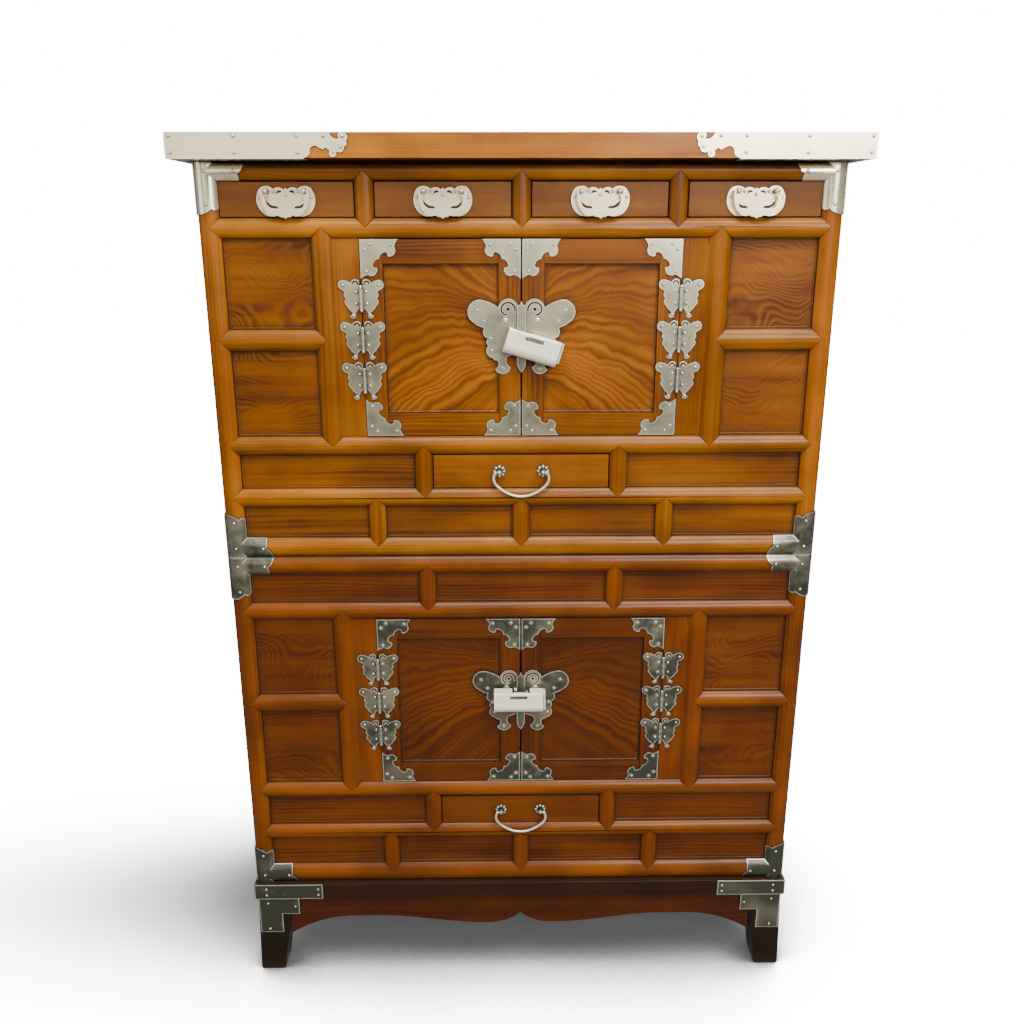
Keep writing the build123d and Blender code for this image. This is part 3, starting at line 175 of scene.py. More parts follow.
skin = node(tree, "ShaderNodeBsdfPrincipled", {"Base Color": shade, "Roughness": 0.8,
                                               "Specular IOR Level": 0.1,
                                               "Emission Color": maths(tree, "MULTIPLY", painted_floor_glow, ray),
                                               "Emission Strength": 1.0})
node(tree, "ShaderNodeOutputMaterial", {"Surface": skin.outputs[0]})
floor_mesh.materials.append(floor_paint)
print("floor finish:", len(tree.nodes), "nodes")

# %% World
BACKDROP = 15.5                                     # white to the camera
world = bpy.data.worlds.new("studio")
world.use_nodes = True
bpy.context.scene.world = world
tree = world.node_tree
tree.nodes.clear()
toward = node(tree, "ShaderNodeTexCoord").outputs["Generated"]
height = node(tree, "ShaderNodeSeparateXYZ", {"Vector": toward}).outputs["Z"]
graded = ramp(tree, height, -0.1, 0.5, 0.1, 0.6)
ray = node(tree, "ShaderNodeLightPath").outputs["Is Camera Ray"]
strength = node(tree, "ShaderNodeMix", {0: ray, 2: graded, 3: BACKDROP}).outputs[0]
sky = node(tree, "ShaderNodeBackground", {"Color": (1, 1, 1, 1), "Strength": strength})
node(tree, "ShaderNodeOutputWorld", {"Surface": sky.outputs[0]})
print("world:", len(tree.nodes), "nodes")


# %% Lights
def softbox(name, place, aim, width, height, power, tint=(1, 1, 1)):
    """An area light that faces a point."""
    light = bpy.data.lights.new(name, "AREA")
    light.shape = "RECTANGLE"
    light.size = width
    light.size_y = height
    light.energy = power
    light.color = tint
    lamp = bpy.data.objects.new(name, light)
    lamp.location = place
    lamp.rotation_euler = (Vector(aim) - Vector(place)).to_track_quat("-Z", "Y").to_euler()
    bpy.context.collection.objects.link(lamp)


softbox("front_panel", (0.3, -3.6, 2.15), (0, 0, 1.2), 5.0, 1.6, 40, (1.0, 0.98, 0.95))
softbox("key_box", (1.0, -2.6, 2.0), (0, 0, 0.9), 1.2, 0.8, 62, (1.0, 0.98, 0.94))
softbox("overhead_box", (0.3, -1.5, 3.1), (0, -0.1, 0.7), 2.0, 0.8, 105, (1.0, 0.98, 0.94))
softbox("left_panel", (-2.6, -1.6, 1.5), (-0.3, -0.2, 1.0), 1.4, 1.4, 9)
softbox("back_fill", (1.6, 2.6, 2.6), (0, 0, 0.7), 2.0, 2.0, 30)

# %% [markdown]
# ## Board grain
# Elm shows wide growth rings, short dark pores along the grain, and slow changes of tone
# from board to board. An image would repeat and stretch, so the grain is built from noise
# that is pulled out along the board. The group takes a place whose X runs along the grain
# and a ring coordinate, so one group serves straight boards and figured panels alike.


# %% Group helper
def new_group(name, inputs, outputs):
    """A shader node group with named sockets; returns the tree, its inputs and its end."""
    group = bpy.data.node_groups.new(name, "ShaderNodeTree")
    for title, kind, value in inputs:
        socket = group.interface.new_socket(title, in_out="INPUT", socket_type="NodeSocket" + kind)
        if value is not None:
            socket.default_value = value
    for title, kind in outputs:
        group.interface.new_socket(title, in_out="OUTPUT", socket_type="NodeSocket" + kind)
    start = group.nodes.new("NodeGroupInput").outputs
    end = group.nodes.new("NodeGroupOutput").inputs
    return group, start, end


def group_node(tree, group, **inputs):
    """A group placed in a tree; underscores in the names stand for spaces."""
    made = node(tree, "ShaderNodeGroup")
    made.node_tree = group
    for name, value in inputs.items():
        socket = made.inputs[name.replace("_", " ")]
        if isinstance(value, bpy.types.NodeSocket):
            tree.links.new(value, socket)
        elif isinstance(value, tuple) and len(value) == 3 and socket.type == "RGBA":
            socket.default_value = (*value, 1)
        else:
            socket.default_value = value
    return made


# %% Board grain group
board_grain, start, end = new_group(
    "Board grain",
    [("Place", "Vector", None), ("Rings", "Float", None), ("Ring spacing", "Float", 0.006),
     ("Wander", "Float", 0.006), ("Late wood", "Color", (0.2, 0.08, 0.02, 1)),
     ("Early wood", "Color", (0.5, 0.25, 0.08, 1)), ("Contrast", "Float", 0.6),
     ("Pores", "Float", 0.5)],
    [("Color", "Color"), ("Height", "Float"), ("Roughness", "Float")])
tree = board_grain


def stretched(tree, place, along, across, shift=0.0):
    """The place scaled along and across the grain."""
    return node(tree, "ShaderNodeMapping", {"Vector": place, "Scale": (along, across, across),
                                            "Location": (shift, shift, shift)}).outputs[0]


slow = noise(tree, stretched(tree, start["Place"], 2.2, 14), 1.0, 2.0)
quick = noise(tree, stretched(tree, start["Place"], 9, 60, 3.1), 1.0, 3.0)
drift = maths(tree, "ADD", maths(tree, "SUBTRACT", slow, 0.5),
              maths(tree, "MULTIPLY", maths(tree, "SUBTRACT", quick, 0.5), 0.3))
depth = maths(tree, "ADD", start["Rings"], maths(tree, "MULTIPLY", drift, start["Wander"]))
turns = maths(tree, "DIVIDE", depth, start["Ring spacing"])
uneven = maths(tree, "ADD", turns, maths(tree, "MULTIPLY", maths(tree, "SINE", maths(
    tree, "MULTIPLY", turns, 0.7)), 0.6))
phase = maths(tree, "FRACT", uneven)
sharp = maths(tree, "MULTIPLY", ramp(tree, phase, 0.25, 0.85), ramp(tree, phase, 1.0, 0.88))
soft = maths(tree, "MULTIPLY_ADD", maths(tree, "COSINE", maths(tree, "MULTIPLY", uneven, math.tau)),
             -0.4, 0.4)
late = maths(tree, "MULTIPLY_ADD", sharp, 0.3, soft)
come_and_go = noise(tree, stretched(tree, start["Place"], 3.5, 30, 5.3), 1.0, 2.0)
late = maths(tree, "MULTIPLY", late, ramp(tree, come_and_go, 0.36, 0.62, 0.15, 1.0))
streak = noise(tree, stretched(tree, start["Place"], 1.6, 75, 6.1), 1.0, 3.0, 0.55)
fibre = noise(tree, stretched(tree, start["Place"], 25, 700, 7.7), 1.0, 3.0, 0.6)
pore_noise = noise(tree, stretched(tree, start["Place"], 110, 1500, 1.3), 1.0, 1.0)
pore = maths(tree, "MULTIPLY", ramp(tree, pore_noise, 0.62, 0.74), start["Pores"])
mottle = noise(tree, stretched(tree, start["Place"], 5, 24, 9.2), 1.0, 2.0)
figure = maths(tree, "MULTIPLY", late, start["Contrast"])
for spread, amount in ((fibre, 0.35), (mottle, 1.3), (streak, 0.9)):
    figure = maths(tree, "ADD", figure, maths(tree, "MULTIPLY", maths(tree, "SUBTRACT", spread, 0.5),
                                              amount))
figure = maths(tree, "MINIMUM", maths(tree, "MAXIMUM", maths(tree, "ADD", figure, 0.3), 0.0), 1.0)
grain_color = mixed(tree, figure, start["Early wood"], start["Late wood"])
grain_color = mixed(tree, maths(tree, "MULTIPLY", pore, 0.55), grain_color, (0.03, 0.012, 0.004))
tree.links.new(grain_color, end["Color"])
relief = maths(tree, "SUBTRACT", maths(tree, "MULTIPLY", late, 0.35), pore)
tree.links.new(maths(tree, "ADD", relief, maths(tree, "MULTIPLY", fibre, 0.35)), end["Height"])
tree.links.new(maths(tree, "ADD", 0.28, maths(tree, "ADD", maths(tree, "MULTIPLY", fibre, 0.12),
                                              maths(tree, "MULTIPLY", pore, 0.25))), end["Roughness"])
print("board grain:", len(tree.nodes), "nodes")

# %% [markdown]
# ## Age and painted shade
# Old wax and soot gather where pieces meet, and hands rub the edges bright. The darkening
# where pieces meet, under the cap and round the plates is dirt and painted shade at once.
# Both follow from the shape itself: the Ambient Occlusion node measures how open a spot is
# and finds corners, and the Bevel node finds edges. Painting them by hand would have to be
# done again for every change of shape.

# %% Openness and edges
def openness(tree, reach, samples):
    """1 where nothing is near, less in corners and beside whatever lies on the surface."""
    return node(tree, "ShaderNodeAmbientOcclusion", {"Distance": reach}, samples=samples).outputs["AO"]


def edges(tree, radius, low, high):
    """1 along edges: where the normal turns once the edge is imagined round."""
    round_edge = node(tree, "ShaderNodeBevel", {"Radius": radius}, samples=4).outputs[0]
    flat = node(tree, "ShaderNodeNewGeometry").outputs["Normal"]
    turn = node(tree, "ShaderNodeVectorMath", {0: round_edge, 1: flat}, operation="DOT_PRODUCT")
    return ramp(tree, maths(tree, "SUBTRACT", 1.0, turn.outputs["Value"]), low, high)


# %% Age group
age_and_shade, start, end = new_group(
    "Age",
    [("Color", "Color", (0.5, 0.5, 0.5, 1)), ("Dirt", "Color", (0.03, 0.014, 0.006, 1)),
     ("Dirt amount", "Float", 0.8), ("Dirt and shade reach", "Float", 0.022),
     ("Rubbed", "Color", (0.6, 0.35, 0.15, 1)), ("Rub amount", "Float", 0.3),
     ("Place", "Vector", None)],
    [("Color", "Color"), ("Dirt and shade", "Float")])
tree = age_and_shade
# Darker in corners, under overhangs and round the plates: dirt and painted shade together.
open_out = openness(tree, start["Dirt and shade reach"], 6)
patchy = noise(tree, start["Place"], 30.0, 4.0, 0.6)
touching = openness(tree, 0.008, 6)
dirt_and_painted_shade = maths(tree, "MULTIPLY", ramp(tree, open_out, 0.93, 0.3), ramp(tree, patchy, 0.2, 0.6, 0.6, 1.0))
dirt_and_painted_shade = maths(tree, "MAXIMUM", dirt_and_painted_shade, ramp(tree, touching, 0.97, 0.6))
dirt_and_painted_shade = maths(tree, "MULTIPLY", dirt_and_painted_shade, start["Dirt amount"])
rubbed = maths(tree, "MULTIPLY", edges(tree, 0.003, 0.02, 0.2), ramp(tree, patchy, 0.35, 0.65))
rubbed = maths(tree, "MULTIPLY", rubbed, start["Rub amount"])
smoke = ramp(tree, noise(tree, start["Place"], 8.0, 3.0, 0.55), 0.36, 0.66, 0.0, 0.45)
smoked = mixed(tree, 1.0, start["Color"], (0.42, 0.30, 0.22), "MULTIPLY")
varnish = mixed(tree, smoke, start["Color"], smoked)
worn = mixed(tree, rubbed, varnish, start["Rubbed"])
tree.links.new(mixed(tree, dirt_and_painted_shade, worn, start["Dirt"]), end["Color"])
tree.links.new(dirt_and_painted_shade, end["Dirt and shade"])
print("age:", len(tree.nodes), "nodes")

# %% [markdown]
# ## Wood finishes
# Each board needs its own grain direction. The pieces of one node often run different
# ways, as the stiles and rails of a door do, so the direction is chosen by where a point
# lies in the rest position. That place stays with the piece when it moves. Splitting each
# board off and giving it its own finish would need as many pieces as there are boards.
# The doors are veneered with crotch wood, whose rays fan out from the joint of the doors,
# and the square panels beside them have wavy figure.


# %% Directions
def turned(tree, place, along):
    """The place with its X along the grain of a board that runs along that axis."""
    x, y, z = node(tree, "ShaderNodeSeparateXYZ", {"Vector": place}).outputs
    order = {"X": (x, z, y), "Z": (z, x, y), "Y": (y, z, x)}[along]
    return node(tree, "ShaderNodeCombineXYZ", dict(enumerate(order))).outputs[0]


def chosen(tree, mask, first, second):
    """One of two places by a mask of 0 or 1."""
    made = node(tree, "ShaderNodeMix", data_type="VECTOR")
    tree.links.new(mask, made.inputs[0])
    tree.links.new(first, made.inputs[4])
    tree.links.new(second, made.inputs[5])
    return made.outputs[1]


def beyond(tree, value, limit):
    """1 where the value is over the limit."""
    return maths(tree, "GREATER_THAN", value, limit)


# %% Wood builder
def wood(name, early, late, along="X", spacing=0.007, wander=0.02, contrast=0.55, pores=0.5,
         dirt_and_shade_amount=0.85, rub=0.3, rubbed=None, gloss=0.34, coat=0.14, layout=None, bump=0.2):
    """An oiled wood; layout may return another place and ring coordinate."""
    material = blank_material(name)
    tree = material.node_tree
    place = node(tree, "ShaderNodeTexCoord").outputs["Object"]
    grain_place = turned(tree, place, along)
    rings = node(tree, "ShaderNodeSeparateXYZ", {"Vector": grain_place}).outputs["Y"]
    if layout:
        grain_place, rings = layout(tree, place, grain_place, rings)
    grain = group_node(tree, board_grain, Place=grain_place, Rings=rings, Ring_spacing=spacing,
                       Wander=wander, Late_wood=late, Early_wood=early, Contrast=contrast,
                       Pores=pores)
    # The Age group darkens the corners with dirt and painted shade.
    old = group_node(tree, age_and_shade, Color=grain.outputs["Color"], Dirt_amount=dirt_and_shade_amount,
                     Rubbed=rubbed or tuple(min(1, c * 1.5) for c in early), Rub_amount=rub,
                     Place=place)
    rough = maths(tree, "ADD", maths(tree, "ADD", grain.outputs["Roughness"], gloss - 0.28),
                  maths(tree, "MULTIPLY", old.outputs["Dirt and shade"], 0.3))
    relief = node(tree, "ShaderNodeBump", {"Height": grain.outputs["Height"], "Strength": bump,
                                           "Distance": 0.0006})
    skin = node(tree, "ShaderNodeBsdfPrincipled",
                {"Base Color": old.outputs["Color"], "Roughness": rough,
                 "Normal": relief.outputs[0], "Specular IOR Level": 0.15, "Coat Weight": coat,
                 "Coat Roughness": 0.14})
    node(tree, "ShaderNodeOutputMaterial", {"Surface": skin.outputs[0]})
    return material


# %% Layouts for mixed pieces
SIDE_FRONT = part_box("upper_side_panels")[0].y + 0.006      # where the side rails begin
SIDE_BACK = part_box("upper_side_panels")[1].y - 0.006
DOOR_STILE = 0.0325
JOINT_LINE = 0.0005                                        # keeps the stile's edge in one grain
SIDE_BAY = 0.302                                           # from here on, the bays beside the doors


def between(tree, z, name):
    """1 between the heights of a piece."""
    low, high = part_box(name)
    return maths(tree, "MULTIPLY", beyond(tree, z, low.z), maths(tree, "LESS_THAN", z, high.z))


def side_frame_layout(tree, place, grain_place, rings):
    """Posts upright, side rails from front to back."""
    x, y, z = node(tree, "ShaderNodeSeparateXYZ", {"Vector": place}).outputs
    inside = maths(tree, "MULTIPLY", beyond(tree, y, SIDE_FRONT),
                   maths(tree, "LESS_THAN", y, SIDE_BACK))
    grain_place = chosen(tree, inside, turned(tree, place, "Z"), turned(tree, place, "Y"))
    return grain_place, node(tree, "ShaderNodeSeparateXYZ", {"Vector": grain_place}).outputs["Y"]


def door_frame_layout(tree, place, grain_place, rings):
    """Stiles upright, rails across."""
    low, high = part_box("upper_right_door_frame")
    x, y, z = node(tree, "ShaderNodeSeparateXYZ", {"Vector": place}).outputs
    out = maths(tree, "ABSOLUTE", x)
    rail = maths(tree, "MULTIPLY", beyond(tree, out, low.x + DOOR_STILE - JOINT_LINE),
                 maths(tree, "LESS_THAN", out, high.x - DOOR_STILE + JOINT_LINE))
    grain_place = chosen(tree, rail, turned(tree, place, "Z"), turned(tree, place, "X"))
    return grain_place, node(tree, "ShaderNodeSeparateXYZ", {"Vector": grain_place}).outputs["Y"]


def feather_layout(middle, fan, bend, lift):
    """Crotch figure of pale bands that fan out from the joint of the doors, left as right."""
    def layout(tree, place, grain_place, rings):
        x, y, z = node(tree, "ShaderNodeSeparateXYZ", {"Vector": place}).outputs
        out = maths(tree, "ABSOLUTE", x)
        wave = maths(tree, "MULTIPLY", maths(tree, "SUBTRACT", noise(
            tree, stretched(tree, place, 14, 14, 4.0), 1.0, 2.0), 0.5), 0.035)
        curl = noise(tree, stretched(tree, place, 38, 38, 1.7), 1.0, 3.0)
        wave = maths(tree, "MULTIPLY_ADD", curl, 0.014, wave)
        up = maths(tree, "ADD", maths(tree, "SUBTRACT", z, middle + lift), wave)
        up = maths(tree, "ADD", up, maths(tree, "MULTIPLY", maths(tree, "POWER", out, 2.0), bend))
        ray = maths(tree, "DIVIDE", up, maths(tree, "ADD", out, fan))
        rings = maths(tree, "MULTIPLY", ray, 0.13)
        place = node(tree, "ShaderNodeCombineXYZ", {0: out, 1: rings, 2: y}).outputs[0]
        return place, rings
    return layout


def panel_layout(tree, place, grain_place, rings):
    """Straight grain in the small fields, wavy figure in the square ones beside the doors."""
    x, y, z = node(tree, "ShaderNodeSeparateXYZ", {"Vector": place}).outputs
    out = maths(tree, "ABSOLUTE", x)
    side = maths(tree, "MULTIPLY", beyond(tree, out, SIDE_BAY), maths(
        tree, "ADD", between(tree, z, "upper_right_door_frame"),
        between(tree, z, "lower_right_door_frame")))
    hump = noise(tree, stretched(tree, place, 6.5, 6.5, 2.2), 1.0, 1.5)
    wavy = maths(tree, "ADD", maths(tree, "MULTIPLY", hump, 0.26), maths(tree, "MULTIPLY", z, 0.9))
    ripple = noise(tree, stretched(tree, place, 22, 22, 8.1), 1.0, 2.0)
    wavy = maths(tree, "ADD", wavy, maths(tree, "MULTIPLY", ripple, 0.02))
    rings = maths(tree, "ADD", maths(tree, "MULTIPLY", rings, maths(tree, "SUBTRACT", 1.0, side)),
                  maths(tree, "MULTIPLY", wavy, side))
    return grain_place, rings


# %% Wood finishes
ELM_EARLY, ELM_LATE = (0.34, 0.118, 0.003), (0.12, 0.031, 0.001)
# The lower tier's finishes are darker copies of the upper ones: partly darker wood, partly painted shade
# for the weaker light low down.
LOW_EARLY, LOW_LATE = (0.21, 0.056, 0.001), (0.07, 0.014, 0.001)

rail_wood = wood("rail_elm", ELM_EARLY, (0.10, 0.025, 0.001), "X", contrast=0.3, spacing=0.006)
upright_wood = wood("upright_elm", (0.27, 0.088, 0.002), (0.085, 0.020, 0.001), "Z", contrast=0.3)
side_wood = wood("side_elm", (0.31, 0.097, 0.003), ELM_LATE, "Z", contrast=0.4, layout=side_frame_layout)
low_rail_wood = wood("low_rail_elm", LOW_EARLY, LOW_LATE, "X", contrast=0.2, spacing=0.006)
low_upright_wood = wood("low_upright_elm", (0.20, 0.050, 0.001), (0.07, 0.013, 0.001), "Z",
                        contrast=0.2)
low_side_wood = wood("low_side_elm", (0.20, 0.052, 0.001), LOW_LATE, "Z", contrast=0.4,
                     layout=side_frame_layout)
panel_wood = wood("panel_elm", (0.215, 0.066, 0.002), (0.065, 0.015, 0.001), "X", spacing=0.008,
                  contrast=0.6, layout=panel_layout, gloss=0.4)
low_panel_wood = wood("low_panel_elm", (0.15, 0.037, 0.001), (0.055, 0.010, 0.001), "X",
                      spacing=0.009, contrast=0.5, layout=panel_layout, gloss=0.4)
door_middle, low_door_middle = (sum(corner.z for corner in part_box(tier + "_right_door_frame")) / 2
                                for tier in ("upper", "lower"))
feather_wood = wood("feather_elm", (0.08, 0.020, 0.001), (0.30, 0.094, 0.002), "X", spacing=0.009,
                    wander=0.026, contrast=0.62, rubbed=(0.3, 0.1, 0.01),
                    layout=feather_layout(door_middle, 0.055, 2.4, -0.012))
low_feather_wood = wood("low_feather_elm", (0.045, 0.009, 0.001), (0.125, 0.03, 0.001), "X",
                        spacing=0.008, wander=0.02, contrast=0.6, rubbed=(0.2, 0.06, 0.005),
                        layout=feather_layout(low_door_middle, 0.07, 1.6, 0.03))
door_wood = wood("door_frame_elm", (0.23, 0.071, 0.002), (0.08, 0.018, 0.001), "Z",
                 layout=door_frame_layout)
low_door_wood = wood("low_door_frame_elm", (0.12, 0.029, 0.001), (0.05, 0.010, 0.001), "Z",
                     layout=door_frame_layout)
cap_wood = wood("cap_elm", (0.42, 0.145, 0.005), (0.17, 0.044, 0.002), "X", contrast=0.35, spacing=0.005)
moulding_wood = wood("moulding_dark", (0.030, 0.011, 0.003), (0.012, 0.004, 0.001), "X", contrast=0.3,
                     gloss=0.3, rub=0.25, rubbed=(0.13, 0.04, 0.008), coat=0.1)
apron_wood = wood("apron_dark_red", (0.075, 0.017, 0.001), (0.03, 0.006, 0.001), "X", contrast=0.4,
                  rub=0.4, rubbed=(0.22, 0.06, 0.006), coat=0.1)
leg_wood = wood("leg_black", (0.016, 0.008, 0.004), (0.007, 0.004, 0.002), "Z", contrast=0.3,
                rub=0.3, rubbed=(0.12, 0.045, 0.02), gloss=0.34, coat=0.1)
inner_wood = wood("inner_pine", (0.50, 0.32, 0.15), (0.34, 0.18, 0.07), "X", contrast=0.35,
                  gloss=0.5, coat=0.0, pores=0.2, dirt_and_shade_amount=0.5)
back_wood = wood("back_pine", (0.36, 0.21, 0.09), (0.22, 0.11, 0.04), "X", contrast=0.35,
                 gloss=0.55, coat=0.0, pores=0.2)
print("materials so far:", len(bpy.data.materials))

# %% [markdown]
# ## Drawers
# A drawer shows elm only in front; its sides, back and bottom are plain pine. The five boards
# come as one piece, and splitting it would touch the joiner's work. One finish that turns
# from elm to pine a little behind the front does the same, and the seam falls in the gap
# round the front.


# %% Drawer wood
DRAWER_FRONT = 0.0135                                      # thickness that counts as the front


def drawer_wood(name, early, late):
    """Figured front, plain pine box behind it, in one finish parted by depth."""
    material = wood(name, early, late, "X", spacing=0.02, wander=0.06, contrast=0.3, gloss=0.42)
    tree = material.node_tree
    skin = next(n for n in tree.nodes if n.type == "BSDF_PRINCIPLED")
    place = node(tree, "ShaderNodeTexCoord").outputs["Object"]
    x, y, z = node(tree, "ShaderNodeSeparateXYZ", {"Vector": place}).outputs
    behind = beyond(tree, y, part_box("drawer_1")[0].y + DRAWER_FRONT)
    pale = group_node(tree, board_grain, Place=turned(tree, place, "Y"), Ring_spacing=0.009, Rings=z,
                      Wander=0.02, Late_wood=(0.36, 0.2, 0.08), Early_wood=(0.52, 0.34, 0.17),
                      Contrast=0.35, Pores=0.2)
    shown = mixed(tree, behind, skin.inputs["Base Color"].links[0].from_socket, pale.outputs["Color"])
    tree.links.new(shown, skin.inputs["Base Color"])
    return material


DRAWER_FINISHES = {
    "drawer": drawer_wood("drawer_elm", (0.21, 0.072, 0.008), (0.11, 0.032, 0.004)),
    "upper": drawer_wood("upper_drawer_elm", (0.27, 0.088, 0.002), (0.10, 0.025, 0.001)),
    # The lower drawers are darker in the same way: partly darker wood, partly painted shade.
    "lower": drawer_wood("lower_drawer_elm", (0.15, 0.038, 0.001), (0.06, 0.012, 0.001)),
}
print("drawer finishes:", list(DRAWER_FINISHES))

# %% [markdown]
# ## White bronze
# The plates are a pale copper alloy, cast thin, filed smooth and worn by polishing. They
# are painted a cream silver high up and darker and greener low down: painted shade for the
# lower plates, which take less light, under clouds of tarnish. The rim of each plate is
# rubbed bright; a bevel makes that rim catch the light. A plain metal shader would mirror
# the white studio and look like chrome, so the colour mixes polish with tarnish and painted
# shade by height and cloud, and the metals differ only in those two colours.

# %% White bronze group
white_bronze, start, end = new_group(
    "White bronze",
    [("Place", "Vector", None), ("Polished", "Color", (0.8, 0.77, 0.66, 1)),
     ("Tarnish", "Color", (0.28, 0.28, 0.21, 1)), ("Low", "Float", 0.1), ("High", "Float", 1.3),
     ("Tarnish amount", "Float", 1.0)],
    [("Color", "Color"), ("Roughness", "Float"), ("Height", "Float")])
tree = white_bronze
x, y, z = node(tree, "ShaderNodeSeparateXYZ", {"Vector": start["Place"]}).outputs
cloud = noise(tree, start["Place"], 22.0, 4.0, 0.6)
patch = noise(tree, start["Place"], 7.0, 2.0, 0.5)
# Darker towards the bottom: painted shade for the lower plates, which take less light.
painted_shade_by_height = maths(tree, "DIVIDE", maths(tree, "SUBTRACT", start["High"], z),
             maths(tree, "SUBTRACT", start["High"], start["Low"]))
painted_shade_by_height = maths(tree, "POWER", maths(tree, "MAXIMUM", painted_shade_by_height, 0.0), 0.33)
tarnish_and_painted_shade = maths(tree, "MULTIPLY_ADD", maths(tree, "SUBTRACT", cloud, 0.5), 1.1, maths(
    tree, "MULTIPLY_ADD", painted_shade_by_height, 1.1, 0.04))
tarnish_and_painted_shade = maths(tree, "MINIMUM", maths(tree, "MAXIMUM", maths(
    tree, "MULTIPLY", tarnish_and_painted_shade, start["Tarnish amount"]), 0.0), 1.0)
metal_color = mixed(tree, tarnish_and_painted_shade, start["Polished"], start["Tarnish"])
metal_color = mixed(tree, maths(tree, "MULTIPLY", ramp(tree, patch, 0.5, 0.7), 0.35), metal_color,
                    (0.62, 0.55, 0.33))
rim = edges(tree, 0.0034, 0.005, 0.09)
metal_color = mixed(tree, maths(tree, "MULTIPLY", rim, 0.9), metal_color, (0.95, 0.92, 0.76))
# Nearly black in creases and folds: painted shade.
crease = openness(tree, 0.006, 8)
metal_color = mixed(tree, ramp(tree, crease, 0.95, 0.6, 0.0, 0.92), metal_color, (0.03, 0.026, 0.018))
tree.links.new(metal_color, end["Color"])
scratch = noise(tree, stretched(tree, start["Place"], 40, 160, 0.4), 1.0, 3.0, 0.6)
tree.links.new(maths(tree, "ADD", 0.2, maths(tree, "ADD", maths(tree, "MULTIPLY", scratch, 0.1),
                                             maths(tree, "MULTIPLY", tarnish_and_painted_shade, 0.12))), end["Roughness"])
dents = noise(tree, start["Place"], 45.0, 2.0)
tree.links.new(dents, end["Height"])
print("white bronze:", len(tree.nodes), "nodes")


# %% White bronze finishes
def bronze(name, polished, tarnish_and_low_shade, amount=1.0, bump=0.05, metallic=0.9):
    """A metal from the white bronze group."""
    material = blank_material(name)
    tree = material.node_tree
    place = node(tree, "ShaderNodeTexCoord").outputs["Object"]
    cast = group_node(tree, white_bronze, Place=place, Polished=polished, Tarnish=tarnish_and_low_shade,
                      Tarnish_amount=amount)
    relief = node(tree, "ShaderNodeBump", {"Height": cast.outputs["Height"], "Strength": bump,
                                           "Distance": 0.0008})
    skin = node(tree, "ShaderNodeBsdfPrincipled",
                {"Base Color": cast.outputs["Color"], "Roughness": cast.outputs["Roughness"],
                 "Metallic": metallic, "Normal": relief.outputs[0]})
    node(tree, "ShaderNodeOutputMaterial", {"Surface": skin.outputs[0]})
    return material


# The second colour of each metal is tarnish and the painted shade it takes low down.
plate_metal = bronze("plate_bronze", (0.95, 0.86, 0.58), (0.075, 0.078, 0.055), metallic=0.8)
bright_metal = bronze("bright_bronze", (0.90, 0.77, 0.48), (0.55, 0.50, 0.34), 0.6, metallic=0.6)
lock_metal = bronze("lock_bronze", (0.98, 0.93, 0.74), (0.90, 0.86, 0.68), 0.7, metallic=0.2)
nail_metal = bronze("nail_bronze", (0.80, 0.77, 0.62), (0.34, 0.34, 0.25), 0.9)
METALS = (plate_metal, bright_metal, lock_metal, nail_metal)
print("metals:", [metal.name for metal in METALS])

# %% [markdown]
# ## Which finish goes where
# The finish follows from a piece's name. Every board and plate also gets a narrow bevel:
# no real edge is sharp, and the bevel is what shows a highlight. A bevel in the solids
# would do it too, but as a modifier it can be changed here and leaves the mesh alone.
# Vertices are welded first, because the pieces arrive with each face separate.


# %% Finish by name
ONE_OF_A_KIND = {"cap_board": cap_wood, "base_moulding": moulding_wood, "base_aprons": apron_wood,
                 "base_legs": leg_wood, "cap_mounts": bright_metal, "case_nails": nail_metal}
BY_ENDING = (                                              # ending, upper tier, lower tier
    (("_lock_body", "_lock_bolt"), lock_metal, lock_metal),
    (("bail", "_plate"), bright_metal, bright_metal),
    (("mounts", "plates", "leaves", "pins", "rosettes"), plate_metal, plate_metal),
    ("door_panel", feather_wood, low_feather_wood),
    ("door_frame", door_wood, low_door_wood),
    (("front_panels", "side_panels"), panel_wood, low_panel_wood),
    ("front_rails", rail_wood, low_rail_wood),
    ("uprights", upright_wood, low_upright_wood),
    ("side_frames", side_wood, low_side_wood),
    ("back", back_wood, back_wood),
)


def finish_of(name):
    """The material of a joiner's piece."""
    if name in ONE_OF_A_KIND:
        return ONE_OF_A_KIND[name]
    for ending, upper, lower in BY_ENDING:
        if name.endswith(ending):
            return lower if name.startswith("lower") else upper
    if "drawer" in name:
        return DRAWER_FINISHES[name.split("_")[0]]
    return inner_wood


def soften(piece, width, segments=2):
    """Weld the faces, bevel the edges and even out the shading."""
    weld = piece.modifiers.new("weld", "WELD")
    weld.merge_threshold = 0.00001
    bevel = piece.modifiers.new("bevel", "BEVEL")
    bevel.width = width
    bevel.segments = segments
    bevel.limit_method = "ANGLE"
    bevel.angle_limit = math.radians(35)
    even = piece.modifiers.new("even", "WEIGHTED_NORMAL")
    even.keep_sharp = False


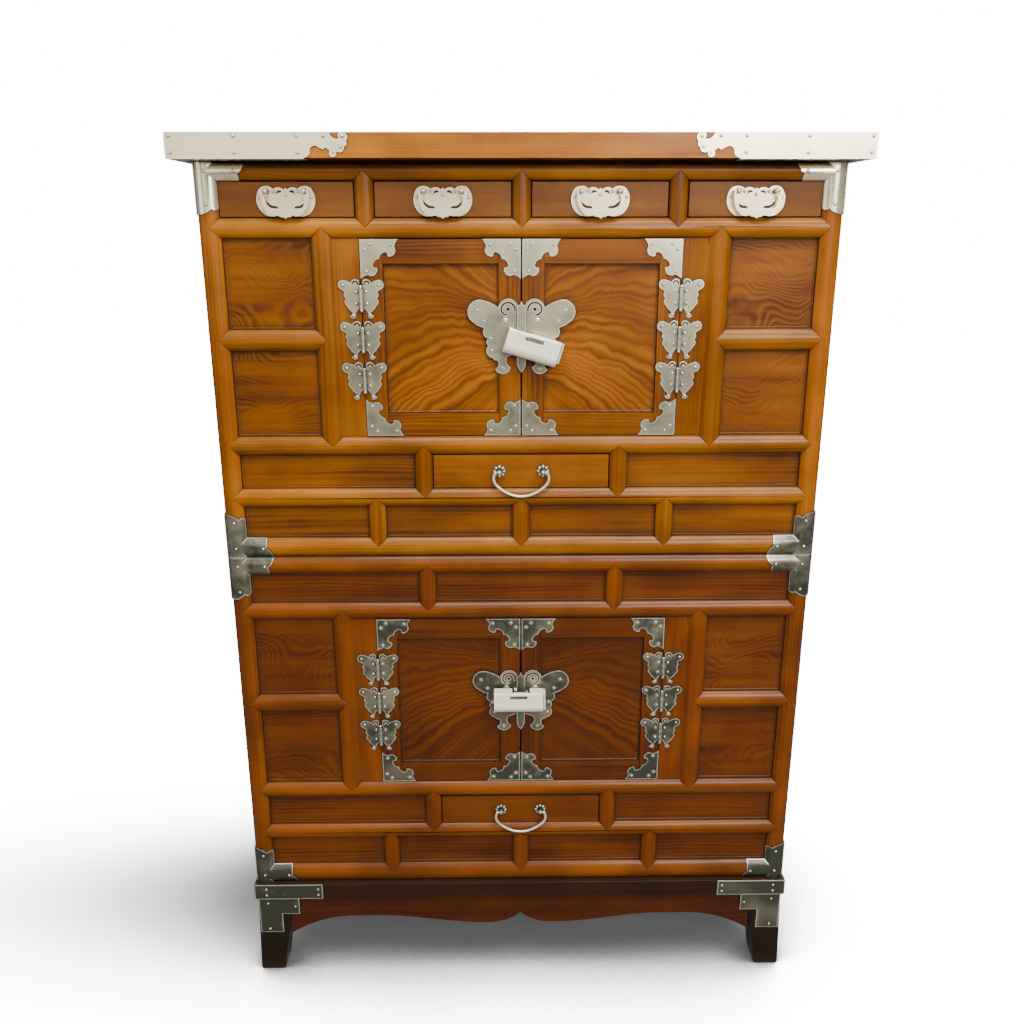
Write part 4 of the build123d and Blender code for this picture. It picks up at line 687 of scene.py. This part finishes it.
METAL_BEVEL, WOOD_BEVEL = 0.0009, 0.0008
for name, piece in nodes.items():
    finish = finish_of(name)
    if not piece.material_slots:
        piece.data.materials.append(finish)
    for held in piece.material_slots:
        held.material = finish
    if name != "case_nails":                               # the nails are domed already
        soften(piece, METAL_BEVEL if finish in METALS else WOOD_BEVEL)
print("finished:", len(nodes), "pieces")

# %% [markdown]
# ## Painted shade in the lock windows
# Each padlock has a narrow window over its bar, deep in shade. A dark patch painted on the
# lock would look flat from the side, so a dark strip with rounded edges lies in the window
# as painted shade, a little under the face of the lock and turned as the lock hangs. It
# rides on the lock, so it swings with it.

# %% Lock windows
shadow_metal = bronze("shadow_bronze", (0.12, 0.11, 0.08), (0.05, 0.05, 0.035), 1.0, metallic=0.8)
WINDOW_LONG, WINDOW_HIGH, WINDOW_SUNK, STRIP = 0.0272, 0.0052, 0.0011, 0.0009
LOCK_WINDOWS = {"upper": ((0.0226, 1.1191), 16.8), "lower": ((0.0, 0.5461), 0.0)}


def window_shade_strip(tier, middle, tilt):
    """A dark strip of painted shade in the window of one lock."""
    made = bmesh.new()
    bmesh.ops.create_cube(made, size=1.0)
    bmesh.ops.scale(made, vec=(WINDOW_LONG, STRIP, WINDOW_HIGH), verts=made.verts)
    bmesh.ops.bevel(made, geom=made.edges[:], offset=0.00025, segments=2, affect="EDGES")
    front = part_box(tier + "_lock_body")[0].y + WINDOW_SUNK + STRIP / 2
    bmesh.ops.rotate(made, matrix=Matrix.Rotation(math.radians(tilt), 3, "Y"), verts=made.verts)
    bmesh.ops.translate(made, vec=(middle[0], front, middle[1]), verts=made.verts)
    mesh = bpy.data.meshes.new(tier + "_lock_window_shade")
    made.to_mesh(mesh)
    made.free()
    mesh.materials.append(shadow_metal)
    piece = bpy.data.objects.new(tier + "_lock_window_shade", mesh)
    bpy.context.collection.objects.link(piece)
    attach(piece, tier + "_lock_case")
    return piece


for tier, (middle, tilt) in LOCK_WINDOWS.items():
    shade_strip = window_shade_strip(tier, middle, tilt)
    print(shade_strip.name, "with", len(shade_strip.data.vertices), "points")
